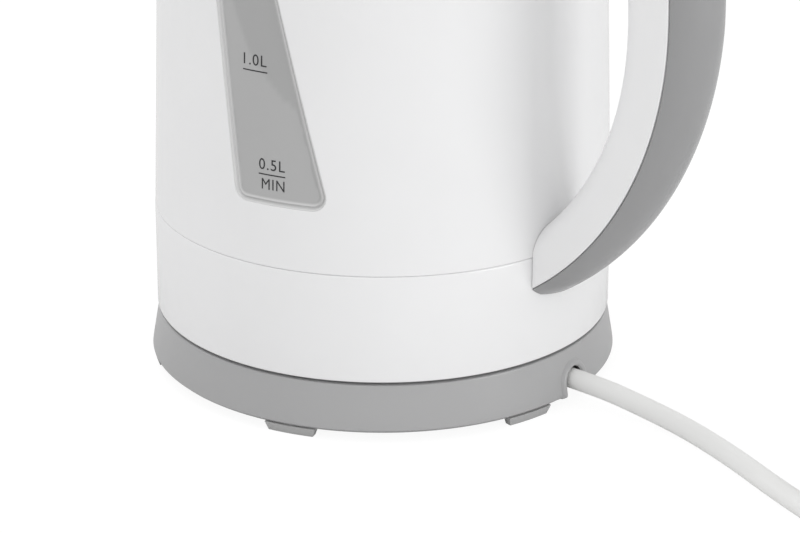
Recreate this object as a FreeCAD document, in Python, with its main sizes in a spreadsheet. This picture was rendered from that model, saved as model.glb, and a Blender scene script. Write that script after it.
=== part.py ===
"""Cordless electric jug kettle on a 360 degree power base, as a parametric document.

Millimetres. Z is up and Z = 0 is the surface that the feet stand on. The origin is on the jug's
axis. +X points along the handle and -X along the spout, and the water window faces -Y.
"""
import FreeCAD, Part
import math
import os

import Sketcher

Vector = FreeCAD.Vector

SIZES = [
    # power base
    ("foot_rise", 3.0, "gap between the table and the base's underside"),
    ("foot_length", 17.0, "length of a foot along the rim"),
    ("foot_depth", 3.2, "radial width of a foot"),
    ("foot_count", 6, "feet around the base"),
    ("foot_turn", 50.5, "azimuth of the first foot"),
    ("foot_inset", 0.3, "outer face of a foot inside the base's widest line"),
    ("foot_taper", 1.0, "draft of a foot's face and ends towards the table"),
    ("base_rise", 15.7, "underside of the base to its top ring"),
    ("base_inset", 0.4, "how far the top ring stands inside the jug's skirt"),
    ("base_flare", 2.1, "how far the base spreads beyond the jug"),
    ("base_round", 1.2, "rounding under the base's widest line"),
    ("base_wall", 2.2, "wall of the base cover"),
    ("hem_chamfer", 0.6, "inner chamfer at the base's lower edge"),
    ("land_inset", 1.5, "inner edge of the base's top ring inside the jug's skirt"),
    ("step_draft", 0.5, "draft of the step up to the raised centre"),
    ("plateau_rise", 4.6, "raised centre of the base above its top ring"),
    ("mouth_gap", 5.4, "mouth of the base cover around the tower"),
    ("plate_thick", 1.8, "bottom plate"),
    ("plate_gap", 0.9, "bottom plate inside the cover"),
    ("rib_inset", 17.0, "stiffening ring of the plate inside the body's radius"),
    ("rib_thick", 1.6, "stiffening ring of the plate"),
    ("rib_rise", 3.0, "stiffening ring of the plate"),
    ("screw_circle", 52.0, "base screws from the axis"),
    ("screw_turn", 66.0, "azimuth of the first base screw"),
    ("boss_radius", 3.4, "screw bosses of the base"),
    ("boss_seat", 0.1, "screw bosses above the plate"),
    ("pilot_radius", 1.25, "pilot hole of a screw"),
    ("pilot_roof", 3.0, "closed end of a boss above its pilot hole"),
    ("shank_radius", 1.2, "shank of a screw"),
    ("shank_length", 13.2, "shank of a base screw"),
    ("head_radius", 3.0, "head of a base screw"),
    ("head_thick", 1.9, "head of a base screw"),
    ("screw_hole", 1.7, "clearance hole for a screw"),
    ("tower_radius", 15.8, "base half of the coupling"),
    ("tower_rise", 17.5, "tower above the plateau"),
    ("tower_wall", 1.6, "wall of the coupling's moulded rings"),
    ("tower_ease", 1.0, "eased top edge of the tower"),
    ("tower_stand", 4.0, "legs of the tower above the bottom plate"),
    ("step_width", 5.0, "step around the tower's foot"),
    ("step_rise", 1.5, "step around the tower's foot above the raised centre"),
    ("slot_depth", 8.0, "contact slots in the tower's top"),
    ("outer_slot", 2.2, "width of the outer contact slot"),
    ("inner_slot", 1.6, "width of the inner contact slot"),
    ("well_wall", 1.0, "wall of the tower's well"),
    ("socket_radius", 4.2, "central well of the tower"),
    ("ring_thick", 1.5, "guide ring on the tower's step"),
    ("ring_width", 3.4, "guide ring"),
    ("contact_rise", 4.0, "contact rings in their slots"),
    ("contact_gap", 0.15, "contact rings inside their slots"),
    ("cord_azimuth", 6.0, "where the cord leaves the base"),
    ("notch_width", 9.5, "cord notch"),
    ("notch_depth", 9.0, "cord notch inside the body's radius"),
    ("notch_rise", 9.0, "cord notch, from the underside to the top of its arch"),
    ("lip_width", 2.2, "raised rim around the cord notch"),
    ("lip_proud", 0.8, "how far that rim stands out"),
    ("cord_gauge", 6.6, "diameter of the supply cord"),
    ("coil_ease", 2.0, "rounding of the coiled cord's outline"),
    ("clamp_length", 9.8, "cord clamp along the cord"),
    ("clamp_width", 12.0, "cord clamp across the cord"),
    ("clamp_rise", 10.5, "cord clamp above the bottom plate"),
    ("clamp_pitch", 7.8, "screws of the cord clamp apart"),
    ("clamp_head", 1.9, "radius of the clamp's screw heads"),
    ("clamp_head_thick", 1.4, "screw heads of the clamp"),
    # jug
    ("lift_gap", 0.6, "jug's skirt above the base's top ring"),
    ("body_radius", 75.0, "jug at the lower edge of its skirt"),
    ("skirt_rise", 35.2, "height of the skirt"),
    ("skirt_wall", 2.2, "wall of the skirt"),
    ("skirt_draft", 0.2, "radius lost over the skirt"),
    ("skirt_lead", 0.8, "rounding of the skirt's lower edge"),
    ("seam_gap", 0.5, "groove between the skirt and the shell"),
    ("shell_rise", 147.0, "height of the shell above the skirt"),
    ("shell_inset", 0.1, "shell inside the skirt at the seam"),
    ("shell_draft", 5.6, "radius lost over the shell"),
    ("shell_wall", 2.5, "wall of the shell"),
    ("neck_drop", 10.0, "shell's neck inside the skirt"),
    ("neck_taper", 3.0, "inner step from the neck to the shell's wall"),
    ("floor_drop", 3.0, "shell's floor flange below the skirt's top"),
    ("flange_thick", 1.8, "floor flange"),
    ("plate_radius", 62.0, "heating plate"),
    ("plate_gauge", 1.0, "thickness of the heating plate"),
    ("plate_lap", 2.5, "flange's lap over the heating plate"),
    ("seal_thick", 1.2, "silicone seal under the flange"),
    ("seal_lap", 0.8, "seal beyond the heating plate's edge"),
    ("coil_radius", 42.0, "centre line of the heating tube"),
    ("tube_radius", 4.0, "heating tube"),
    ("under_rise", 7.0, "underside of the jug above the skirt's lower edge"),
    ("under_thick", 2.2, "underside moulding"),
    ("under_gap", 0.6, "underside inside the shell's neck"),
    ("press_wall", 2.0, "wall that presses the heating plate up"),
    ("press_inset", 0.3, "that wall inside the heating plate's edge"),
    ("jug_screw_inset", 3.6, "jug screws inside the neck's wall"),
    ("jug_boss_radius", 3.2, "screw bosses of the jug"),
    ("jug_boss_low", 9.0, "screw bosses of the jug above the underside"),
    ("jug_screw_turn", 60.0, "azimuth of the first jug screw"),
    ("jug_shank_length", 18.0, "shank of a jug screw"),
    ("jug_head_radius", 2.8, "head of a jug screw"),
    ("jug_head_thick", 1.6, "head of a jug screw"),
    ("socket_wall", 6.0, "wall of the jug's socket"),
    ("socket_lip", 3.0, "recess for the guide ring in the socket"),
    ("socket_roof", 2.2, "roof of the jug's socket"),
    ("roof_gap", 1.0, "socket's roof above the tower"),
    ("plunger_gap", 0.8, "socket's plunger inside the tower's well"),
    ("plunger_drop", 13.0, "socket's plunger below the tower's top"),
    ("earth_radius", 1.5, "earth pin"),
    ("earth_drop", 3.0, "earth pin below the plunger"),
    ("disc_reach", 12.5, "bimetal discs from the axis"),
    ("disc_radius", 6.3, "bimetal disc"),
    ("disc_thick", 0.75, "bimetal disc"),
    ("disc_gap", 0.8, "bimetal disc under the plate"),
    ("post_radius", 2.0, "posts under the bimetal discs"),
    ("end_radius", 1.6, "cold ends of the heating tube"),
    ("end_length", 14.0, "cold ends of the heating tube"),
    ("ring_open", 27.5, "half of the opening in the heating ring"),
    ("window_azimuth", -77.0, "direction that the water window faces"),
    ("window_low", 19.7, "window's lower edge above the skirt"),
    ("window_rise", 108.8, "height of the window"),
    ("window_left", 9.4, "lower corner on the spout side, from the middle"),
    ("window_right", 22.4, "lower corner on the handle side, from the middle"),
    ("window_left_lean", 14.6, "lean of the spout-side edge over the window's height"),
    ("window_right_lean", 28.8, "lean of the handle-side edge over the window's height"),
    ("window_corner", 6.0, "rounded corners of the window"),
    ("window_lap", 2.5, "window's lap behind the shell"),
    ("window_skin", 1.4, "thickness of that lap"),
    ("window_recess", 0.3, "window's face inside the shell's surface"),
    ("window_gap", 0.1, "gap around the window's face"),
    ("collar_rise", 3.5, "rim collar above the shell"),
    ("collar_width", 5.6, "width of the rim collar"),
    ("collar_plug", 5.0, "collar's spigot inside the shell"),
    ("collar_draft", 0.2, "radius lost over the collar"),
    ("deck_drop", 3.0, "underside of the hinge deck below the shell's top"),
    ("deck_gap", 2.0, "hinge deck behind the lid's rear edge"),
    ("spout_reach", 16.0, "spout's nose beyond the skirt"),
    ("spout_drop", 52.0, "height of the spout"),
    ("spout_width", 50.0, "spout at the shell's top"),
    ("spout_wall", 2.2, "wall of the spout"),
    ("spout_root", 38.0, "start of the spout's flanks from the jug's axis"),
    ("spout_low_width", 35.0, "spout's flanks at its foot"),
    ("spout_start", 1.2, "spout's foot beyond the shell"),
    ("nose_low", 7.0, "nose radius at the spout's foot"),
    ("nose_high", 5.5, "nose radius at the rim"),
    ("nose_turn", 69.5, "half of the nose's arc"),
    ("filter_width", 30.0, "spout filter"),
    ("filter_rise", 30.0, "height of the spout filter"),
    ("filter_inset", 3.4, "spout filter inside the mouth"),
    ("filter_thick", 1.6, "frame of the spout filter"),
    ("filter_rim", 3.0, "rim of the filter's frame"),
    ("mesh_thick", 0.4, "filter mesh"),
    ("rail_width", 1.6, "rails that hold the spout filter"),
    ("rail_gap", 0.6, "rails beside the spout filter"),
    ("rail_drop", 6.0, "rails below the spout filter"),
    ("steam_width", 10.0, "steam slot behind the lid's rear edge"),
    ("steam_drop", 14.0, "steam slot below the shell's top"),
    ("steam_rise", 3.0, "height of the steam slot"),
    # lid
    ("hinge_reach", 56.0, "hinge axis from the jug's axis"),
    ("hinge_drop", 3.0, "hinge axis below the collar's top"),
    ("knuckle_radius", 3.2, "lid's knuckle"),
    ("knuckle_width", 16.0, "width of the knuckle"),
    ("knuckle_room", 3.4, "room behind the lid's knuckle"),
    ("pin_radius", 1.5, "hinge pin"),
    ("pin_reach", 6.5, "hinge pin beyond the knuckle on each side"),
    ("lid_thick", 2.2, "edge of the lid's cap"),
    ("lid_crown", 4.0, "rise of the lid's crown"),
    ("lid_ease", 0.8, "eased edges of the lid"),
    ("lid_chord", 50.0, "lid's straight rear edge from the jug's axis"),
    ("lid_inset", 0.4, "lid inside the shell's top"),
    ("arm_rise", 0.2, "underside of the lid's arm above the hinge axis"),
    ("arm_root", 6.0, "lid's arm under the cap"),
    ("tooth_rise", 1.0, "latch tooth above the hinge axis"),
    ("tooth_thick", 3.6, "latch tooth"),
    ("tooth_lead", 0.8, "latch tooth's step beyond the knuckle"),
    ("liner_drop", 6.0, "depth of the lid's liner"),
    ("liner_gap", 1.0, "liner inside the collar"),
    ("liner_wall", 2.0, "wall of the lid's liner"),
    ("liner_setback", 7.0, "liner in front of the lid's rear edge"),
    ("tooth_width", 8.0, "latch tooth on the lid's knuckle"),
    ("tooth_reach", 2.8, "latch tooth beyond the knuckle"),
    # handle
    ("handle_width", 24.0, "width of the handle"),
    ("handle_reach", 47.2, "back of the white half beyond the body"),
    ("handle_middle", 81.1, "widest point of the handle above the skirt's top"),
    ("back_radius", 111.6, "lower back curve"),
    ("crest_radius", 200.0, "upper back curve"),
    ("head_clear", 0.5, "head of the handle above the collar's top"),
    ("front_gap", 6.0, "front edge of the handle cover behind the hinge"),
    ("handle_tuck", 4.0, "handle's outline carried on inside the body"),
    ("root_wall", 3.5, "handle's wall along the body"),
    ("shoulder_radius", 24.0, "shoulder at the top of the back"),
    ("finger_gap", 28.2, "from the body to the grip"),
    ("grip_drop", 3.9, "widest point of the grip below that of the back"),
    ("grip_radius", 93.5, "lower grip curve"),
    ("grip_crest", 180.0, "upper grip curve"),
    ("grip_turn", 12.0, "turn of the upper grip curve"),
    ("armpit_radius", 12.0, "inside corner under the handle's head"),
    ("grip_round", 9.0, "rounded edges of the grip"),
    ("handle_wall", 2.4, "wall of the handle's channel"),
    ("nose_crown", 3.9, "crown of the handle cover at its nose"),
    ("cover_crown", 8.5, "crown of the handle cover from its widest point up"),
    ("cover_inset", 0.4, "cover inside the handle's sides"),
    ("cover_wall", 2.0, "wall of the handle cover"),
    ("cover_lift", 0.02, "cover off the white half"),
    ("chin_cut", 1.7, "flat under the cover's nose"),
    ("chin_wall", 2.0, "wall over that flat"),
    ("slot_width", 9.4, "release slot under the cover's nose"),
    ("slot_gap", 0.1, "release slot above the flat"),
    ("slot_rise", 0.9, "height of the release slot"),
    ("release_depth", 1.4, "depth of the release slot into the skirt"),
    # controls
    ("button_width", 14.0, "lid button"),
    ("button_length", 14.0, "lid button along the handle"),
    ("button_travel", 2.0, "travel of the lid button"),
    ("button_setback", 1.7, "button's front edge inside the shell's top edge"),
    ("stem_setback", 4.5, "stem behind the button's front edge"),
    ("stem_length", 4.0, "stem of the lid button"),
    ("stem_width", 6.0, "stem of the lid button"),
    ("stem_drop", 3.0, "stem below the head's top"),
    ("bolt_thick", 1.3, "latch bolt"),
    ("bolt_width", 8.0, "latch bolt"),
    ("bolt_tail", 5.0, "latch bolt behind the stem"),
    ("rocker_radius", 15.5, "round ends of the switch rocker"),
    ("rocker_depth", 11.5, "rocker's pivot below the cover's crown"),
    ("rocker_width", 14.0, "switch rocker"),
    ("rocker_place", 50.0, "place of the rocker around the shoulder"),
    ("rocker_hub", 4.2, "hub of the rocker"),
    ("hub_width", 9.0, "hub of the rocker"),
    ("trunnion_radius", 2.0, "trunnions of the rocker"),
    ("trunnion_inset", 1.6, "ends of the trunnions inside the handle's sides"),
    ("lens_turn", 14.0, "lens in front of the rocker's middle"),
    ("lens_depth", 2.0, "middle of the lens below the cover's crown"),
    ("lens_radius", 2.0, "lens of the rocker"),
    ("lens_width", 5.0, "lens of the rocker"),
    ("switch_share", 0.75, "steam switch, as a share of the room in the handle's head"),
    ("switch_wall", 0.11, "walls of its carrier, as a share of its height"),
    ("lever_place", 0.43, "height of the lever's axis, as a share"),
    ("lever_rod", 0.086, "radius of the lever's rod, as a share"),
    ("disc_place", 0.57, "height of the steam disc's middle, as a share"),
    ("disc_share", 0.42, "radius of the steam disc, as a share"),
    ("vent_share", 0.28, "radius of the vent behind the disc, as a share"),
    ("lever_reach", 10.0, "lever's axis from the carrier's front"),
    ("arm_thick", 1.7, "arm of the lever"),
    ("tray_tail", 6.0, "carrier behind the lever's axis"),
    ("cheek_width", 1.6, "sides of the carrier, which bear the lever"),
    ("steam_disc_thick", 0.5, "steam disc"),
    ("control_gap", 0.4, "clearance around buttons"),
    ("seat_gap", 0.3, "clearance between pieces that move past each other"),
    ("pin_gap", 0.05, "radial clearance of pins"),
    ("body_gap", 0.05, "clearance of what is fitted on the body"),
    # plug
    ("plug_radius", 18.5, "face of the plug"),
    ("plug_length", 34.0, "body of the plug"),
    ("relief_length", 24.0, "plug's strain relief"),
    ("plug_inset", 0.6, "plug's side inside its resting radius"),
    ("plug_ease", 0.8, "eased face of the plug"),
    ("relief_wall", 0.8, "wall of the strain relief at the cord"),
    ("waist", 6.0, "narrow part of the plug inside its face"),
    ("waist_start", 0.12, "start of the narrow part, as a share of the plug's body"),
    ("waist_end", 0.45, "end of the narrow part, as a share"),
    ("flare_end", 0.7, "where the plug reaches its full width, as a share"),
    ("clip_reach", 17.0, "grooves of the earth clips from the plug's axis"),
    ("groove_depth", 4.0, "grooves of the earth clips"),
    ("groove_width", 6.4, "grooves of the earth clips"),
    ("groove_length", 14.0, "grooves of the earth clips"),
    ("clip_thick", 1.0, "earth clips"),
    ("clip_width", 4.0, "earth clips"),
    ("clip_seat", 0.8, "earth clips off the bottom of their grooves"),
    ("clip_end", 0.4, "earth clips short of their grooves' ends"),
    ("prong_gap", 0.02, "pins off the plug's face"),
    ("prong_radius", 2.4, "plug pins"),
    ("prong_length", 19.0, "plug pins"),
    ("prong_spacing", 19.0, "plug pins"),
]

# The supply cord runs from its clamp in the base to the coil, and from the coil to the plug.
CORD_ROUTE = [(63.6, 6.7, 8.2), (84.0, 9.4, 7.5), (102.0, 11.4, 4.8), (120.0, 10.4, 3.3),
              (142.0, 3.6, 3.3), (165.0, -5.6, 3.3), (186.5, -13.6, 3.3)]
TAIL_ROUTE = [(233.7, 46.7, 9.9), (222.5, 57.3, 10.6), (210.0, 70.6, 14.8), (196.5, 84.1, 18.5)]
COIL_CENTRE = (208.2, 21.2)
COIL_RADIUS = 36.2
TAIL_HEADING = 135.0

SPARE = 1.0  # how far a cutting shape reaches past what it cuts
HAIR = 0.01  # keeps two faces from coinciding, and tells edges apart
SQUARE = 0.99  # share of an edge's direction along an axis that counts as parallel to it
BEND_SHARE = 0.45  # how much of a straight run each bend of the cord takes up
SCREWS = 3  # screws of each ring


class Dim:
    """A size that carries both its number and the expression that gives it."""

    def __init__(self, number, text):
        self.number = float(number)
        self.text = text

    @staticmethod
    def of(value):
        """A plain number or a Dim, as a Dim."""
        return value if isinstance(value, Dim) else Dim(value, repr(value))

    def __add__(self, other):
        other = Dim.of(other)
        return Dim(self.number + other.number, f"({self.text} + {other.text})")

    def __sub__(self, other):
        other = Dim.of(other)
        return Dim(self.number - other.number, f"({self.text} - ({other.text}))")

    def __mul__(self, other):
        other = Dim.of(other)
        return Dim(self.number * other.number, f"({self.text} * {other.text})")

    def __truediv__(self, other):
        other = Dim.of(other)
        return Dim(self.number / other.number, f"({self.text} / {other.text})")

    def __rsub__(self, other):
        return Dim.of(other) - self

    def __neg__(self):
        return Dim(-self.number, f"(0 - {self.text})")

    __radd__ = __add__
    __rmul__ = __mul__


def root(value):
    return Dim(math.sqrt(value.number), f"sqrt({value.text})")


def cosine(angle):
    angle = Dim.of(angle)
    return Dim(math.cos(math.radians(angle.number)), f"cos({angle.text})")


def sine(angle):
    angle = Dim.of(angle)
    return Dim(math.sin(math.radians(angle.number)), f"sin({angle.text})")


doc = FreeCAD.newDocument("kettle")
sheet = doc.addObject("Spreadsheet::Sheet", "sizes")
for row, (alias, number, note) in enumerate(SIZES, start=1):
    sheet.set(f"A{row}", str(number))
    sheet.setAlias(f"A{row}", alias)
    sheet.set(f"B{row}", note)
doc.recompute()
nodes = []


def size(alias):
    return Dim(sheet.get(alias), f"sizes.{alias}")


class Levels:
    """Heights and radii that several pieces share, worked out from the driving sizes."""

    def __init__(self):
        self.base_low = size("foot_rise")
        self.base_top = self.base_low + size("base_rise")
        self.plateau = self.base_top + size("plateau_rise")
        self.step_top = self.plateau + size("step_rise")
        self.skirt_low = self.base_top + size("lift_gap")
        self.seam = self.skirt_low + size("skirt_rise")
        self.shell_top = self.seam + size("shell_rise")
        self.collar_top = self.shell_top + size("collar_rise")
        self.under = self.skirt_low + size("under_rise")
        self.floor = self.seam - size("floor_drop")
        self.flange_low = self.floor - size("flange_thick")
        self.plate_top = self.flange_low - size("seal_thick")
        self.plate_low = self.plate_top - size("plate_gauge")
        self.body = size("body_radius")
        self.skirt_inner = self.body - size("skirt_wall")
        self.shell_low_radius = self.body - size("skirt_draft") - size("shell_inset")
        self.shell_top_radius = self.shell_low_radius - size("shell_draft")
        self.neck_outer = self.skirt_inner - size("skirt_draft") - size("seat_gap")
        self.neck_inner = self.neck_outer - size("shell_wall")
        self.mouth = self.shell_top_radius - size("shell_wall")
        self.collar_inner = self.shell_top_radius - size("collar_width")
        self.hinge_x = size("hinge_reach")
        self.hinge_z = self.collar_top - size("hinge_drop")
        self.deck_edge = size("lid_chord") + size("deck_gap")
        self.deck_low = self.shell_top - size("deck_drop")
        # handle curves, each an arc about a centre in the XZ plane
        self.back_x = self.body + size("handle_reach") - size("back_radius")
        self.back_z = self.seam + size("handle_middle")
        self.crest_x = self.body + size("handle_reach") - size("crest_radius")
        self.head_top = self.collar_top + size("head_clear")
        self.shoulder_z = self.head_top - size("shoulder_radius")
        spread = size("crest_radius") - size("shoulder_radius")
        self.crest_sine = (self.shoulder_z - self.back_z) / spread
        self.crest_cosine = root(1.0 - self.crest_sine * self.crest_sine)
        self.shoulder_x = self.crest_x + spread * self.crest_cosine
        self.crest_end = (self.crest_x + size("crest_radius") * self.crest_cosine,
                          self.back_z + size("crest_radius") * self.crest_sine)
        self.grip_x = self.body + size("finger_gap") - size("grip_radius")
        self.grip_z = self.back_z - size("grip_drop")
        self.grip_crest_x = self.body + size("finger_gap") - size("grip_crest")
        self.front = self.hinge_x + size("front_gap")
        self.tuck = self.body - size("handle_tuck")
        # the lid button and its stem stand clear of the body and of the handle's front wall
        self.button_start = self.shell_top_radius - size("button_setback")
        self.stem_start = self.button_start + size("stem_setback")


def evaluated(value):
    return Dim.of(value).number


def bind(obj, prop, value):
    """Sets a property to a size of the sheet, or to a plain number."""
    if isinstance(value, Dim):
        obj.setExpression(prop, value.text)
    else:
        setattr(obj, prop, value)


def moved(obj, x=0.0, y=0.0, z=0.0, axis=(0, 0, 1), angle=0.0):
    """Places an object: plain numbers at once, sizes of the sheet by expression."""
    base = Vector(evaluated(x), evaluated(y), evaluated(z))
    turn = FreeCAD.Rotation(Vector(*axis), evaluated(angle))
    obj.Placement = FreeCAD.Placement(base, turn)
    for letter, value in zip("xyz", (x, y, z)):
        if isinstance(value, Dim):
            obj.setExpression(f"Placement.Base.{letter}", value.text)
    if isinstance(angle, Dim):
        obj.setExpression("Placement.Rotation.Angle", angle.text)
    return obj


def arc_geometry(start, end, radius, bulge):
    """The short arc from start to end whose centre lies on the left (+1) or the right (-1)."""
    chord = end - start
    half = chord.Length / 2
    reach = math.sqrt(max(radius * radius - half * half, 0.0))
    left = Vector(-chord.y, chord.x, 0).normalize()
    centre = (start + end) * 0.5 + left * (bulge * reach)
    first, last = (start, end) if bulge > 0 else (end, start)
    angles = [math.atan2(point.y - centre.y, point.x - centre.x) for point in (first, last)]
    return Part.ArcOfCircle(Part.Circle(centre, Vector(0, 0, 1), radius), *angles)


def pin_corner(sketch, geometry, end, corner):
    """Fixes one end of an edge at a corner whose coordinates are sizes of the sheet."""
    for kind, value, axis in (("DistanceX", corner[0], -2), ("DistanceY", corner[1], -1)):
        value = Dim.of(value)
        if value.number == 0.0:
            sketch.addConstraint(Sketcher.Constraint("PointOnObject", geometry, end, axis))
            continue
        index = sketch.addConstraint(Sketcher.Constraint(kind, -1, 1, geometry, end, value.number))
        sketch.setExpression(f"Constraints[{index}]", value.text)


def draw(sketch, corners, closed=True):
    """Draws an outline through corners (x, y) or, for an arc to the corner, (x, y, radius, bulge)."""
    points = [Vector(evaluated(c[0]), evaluated(c[1]), 0) for c in corners]
    count = len(corners) if closed else len(corners) - 1
    ends = []
    for step in range(count):
        corner = corners[(step + 1) % len(corners)]
        start, end = points[step], points[(step + 1) % len(points)]
        if len(corner) == 2:
            ends.append((sketch.addGeometry(Part.LineSegment(start, end)), 1, 2))
            continue
        radius, bulge = corner[2], corner[3]
        arc = sketch.addGeometry(arc_geometry(start, end, evaluated(radius), bulge))
        ends.append((arc, 1, 2) if bulge > 0 else (arc, 2, 1))
        index = sketch.addConstraint(Sketcher.Constraint("Radius", arc, evaluated(radius)))
        bind(sketch, f"Constraints[{index}]", Dim.of(radius))
    for step in range(count):
        edge, first, last = ends[step]
        pin_corner(sketch, edge, first, corners[step])
        if step or closed:
            before = ends[step - 1]
            sketch.addConstraint(Sketcher.Constraint("Coincident", before[0], before[2], edge, first))
    if not closed:
        pin_corner(sketch, ends[-1][0], ends[-1][2], corners[-1])
    return sketch


def sketch_in(body, name, role):
    sketch = body.newObject("Sketcher::SketchObject", name)
    plane = next(item for item in body.Origin.OriginFeatures if item.Role == role)
    sketch.AttachmentSupport = [(plane, "")]
    sketch.MapMode = "FlatFace"
    return sketch


def turned(name, corners):
    """A body of revolution about Z from an outline of (radius, height) corners."""
    body = doc.addObject("PartDesign::Body", name)
    sketch = draw(sketch_in(body, f"{name}_profile", "XZ_Plane"), corners)
    spin = body.newObject("PartDesign::Revolution", f"{name}_turn")
    spin.Profile = sketch
    spin.ReferenceAxis = (sketch, ["V_Axis"])
    spin.Angle = 360
    return body


def upright(name, corners, width):
    """A side outline in the XZ plane, padded evenly to both sides."""
    body = doc.addObject("PartDesign::Body", name)
    sketch = draw(sketch_in(body, f"{name}_profile", "XZ_Plane"), corners)
    pad = body.newObject("PartDesign::Pad", f"{name}_pad")
    pad.Profile = sketch
    pad.Midplane = True
    bind(pad, "Length", width)
    return body


def lengthwise(name, x_low, x_high, corners):
    """An outline of (y, z) corners carried along X."""
    body = doc.addObject("PartDesign::Body", name)
    sketch = draw(sketch_in(body, f"{name}_section", "YZ_Plane"), corners)
    pad = body.newObject("PartDesign::Pad", f"{name}_pad")
    pad.Profile = sketch
    bind(pad, "Length", Dim.of(x_high) - x_low)
    return moved(body, x=x_low)


def block(name, x_low, x_high, width, z_low, z_high, y_mid=0.0):
    """A box between two x and two z, as wide as given about y_mid."""
    box = doc.addObject("Part::Box", name)
    bind(box, "Length", Dim.of(x_high) - x_low)
    bind(box, "Width", Dim.of(width))
    bind(box, "Height", Dim.of(z_high) - z_low)
    return moved(box, Dim.of(x_low), Dim.of(y_mid) - Dim.of(width) / 2, Dim.of(z_low))


def post(name, radius, low, high, x=0.0, y=0.0):
    """A cylinder along Z between two heights."""
    cylinder = doc.addObject("Part::Cylinder", name)
    bind(cylinder, "Radius", Dim.of(radius))
    bind(cylinder, "Height", Dim.of(high) - low)
    return moved(cylinder, Dim.of(x), Dim.of(y), Dim.of(low))


def axle(name, radius, width, x, z):
    """A cylinder along Y, even about the XZ plane."""
    cylinder = doc.addObject("Part::Cylinder", name)
    bind(cylinder, "Radius", Dim.of(radius))
    bind(cylinder, "Height", Dim.of(width))
    return moved(cylinder, x, -Dim.of(width) / 2, z, (1, 0, 0), -90)


def around(name, obj, count):
    """Copies of an object at even steps about Z, as one group of solids."""
    copies = [obj]
    for step in range(1, count):
        copy = doc.addObject("Part::Compound", f"{name}_{step}")
        copy.Links = [obj]
        copies.append(moved(copy, angle=360.0 / count * step))
    group = doc.addObject("Part::Compound", name)
    group.Links = copies
    return group


def ringed(name, obj, turn):
    """A ring of screws, holes or bosses, turned to its azimuth."""
    return moved(grouped(f"{name}_turned", around(name, obj, SCREWS)), angle=turn)


def joined(name, *shapes):
    fuse = doc.addObject("Part::MultiFuse", name)
    fuse.Shapes = list(shapes)
    return fuse


def cut(name, base, tool):
    result = doc.addObject("Part::Cut", name)
    result.Base = base
    result.Tool = tool
    return result


def shared(name, first, second):
    result = doc.addObject("Part::MultiCommon", name)
    result.Shapes = [first, second]
    return result


def grouped(name, *shapes):
    group = doc.addObject("Part::Compound", name)
    group.Links = list(shapes)
    return group


def node(obj, label):
    """Names an object as a finished piece, which is written to parts/LABEL.step."""
    obj.Label = label
    nodes.append(obj)
    return obj


at = Levels()


# ---------------------------------------------------------------- power base

def make_base_cover():
    wall = size("base_wall")
    wide = at.body + size("base_flare")
    wide_z = at.base_low + size("base_round")
    top = at.body - size("base_inset")
    land = at.skirt_inner - size("land_inset")
    mouth = size("tower_radius") + size("mouth_gap")
    shell = turned("cover_shell", [
        (wide - size("base_round"), at.base_low),
        (wide, wide_z, size("base_round"), 1),
        (top, at.base_top),
        (land, at.base_top),
        (land - size("step_draft"), at.plateau),
        (mouth, at.plateau),
        (mouth, at.plateau - wall),
        (land - wall, at.plateau - wall),
        (land - wall, at.base_top - wall),
        (top - wall, at.base_top - wall),
        (wide - wall, wide_z),
        (wide - wall - size("hem_chamfer"), at.base_low),
    ])
    blank = notch_prism("notch_lip", size("notch_width") + size("lip_width") * 2, at.base_low)
    proud = turned("lip_reach", [
        (wide - wall / 2, at.base_low),
        (wide - size("base_round") + size("lip_proud"), at.base_low),
        (wide + size("lip_proud"), wide_z, size("base_round"), 1),
        (top + size("lip_proud"), at.base_top),
        (top - wall / 2, at.base_top),
    ])
    lip = shared("lip_form", blank, proud)
    hole = notch_prism("notch_hole", size("notch_width"), at.base_low - SPARE)
    boss = post("cover_boss", size("boss_radius"), at.base_low + size("plate_thick") + size("boss_seat"),
                at.plateau - wall, size("screw_circle"))
    bosses = ringed("cover_bosses", boss, size("screw_turn"))
    pilot = post("pilot", size("pilot_radius"), at.base_low - SPARE,
                 at.plateau - wall - size("pilot_roof"), size("screw_circle"))
    drilled = cut("cover_drilled", joined("cover_form", shell, lip, bosses),
                  ringed("pilots", pilot, size("screw_turn")))
    node(cut("base_cover", drilled, hole), "base_cover")


def notch_prism(name, width, low):
    """An arch that is open below, along the cord's direction through the base's wall."""
    half = width / 2
    arch = at.base_low + size("notch_rise") - size("notch_width") / 2
    reach = at.body + size("base_flare") + size("lip_proud") + SPARE
    body = doc.addObject("PartDesign::Body", name)
    sketch = draw(sketch_in(body, f"{name}_arch", "YZ_Plane"), [
        (-half, low), (half, low), (half, arch), (0.0, arch + half, half, 1), (-half, arch, half, 1)])
    pad = body.newObject("PartDesign::Pad", f"{name}_pad")
    pad.Profile = sketch
    bind(pad, "Length", reach)
    keep = block(f"{name}_reach", at.body - size("notch_depth"), reach, width + SPARE,
                 at.base_low - SPARE, at.base_top)
    return moved(shared(f"{name}_form", body, keep), angle=size("cord_azimuth"))


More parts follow.
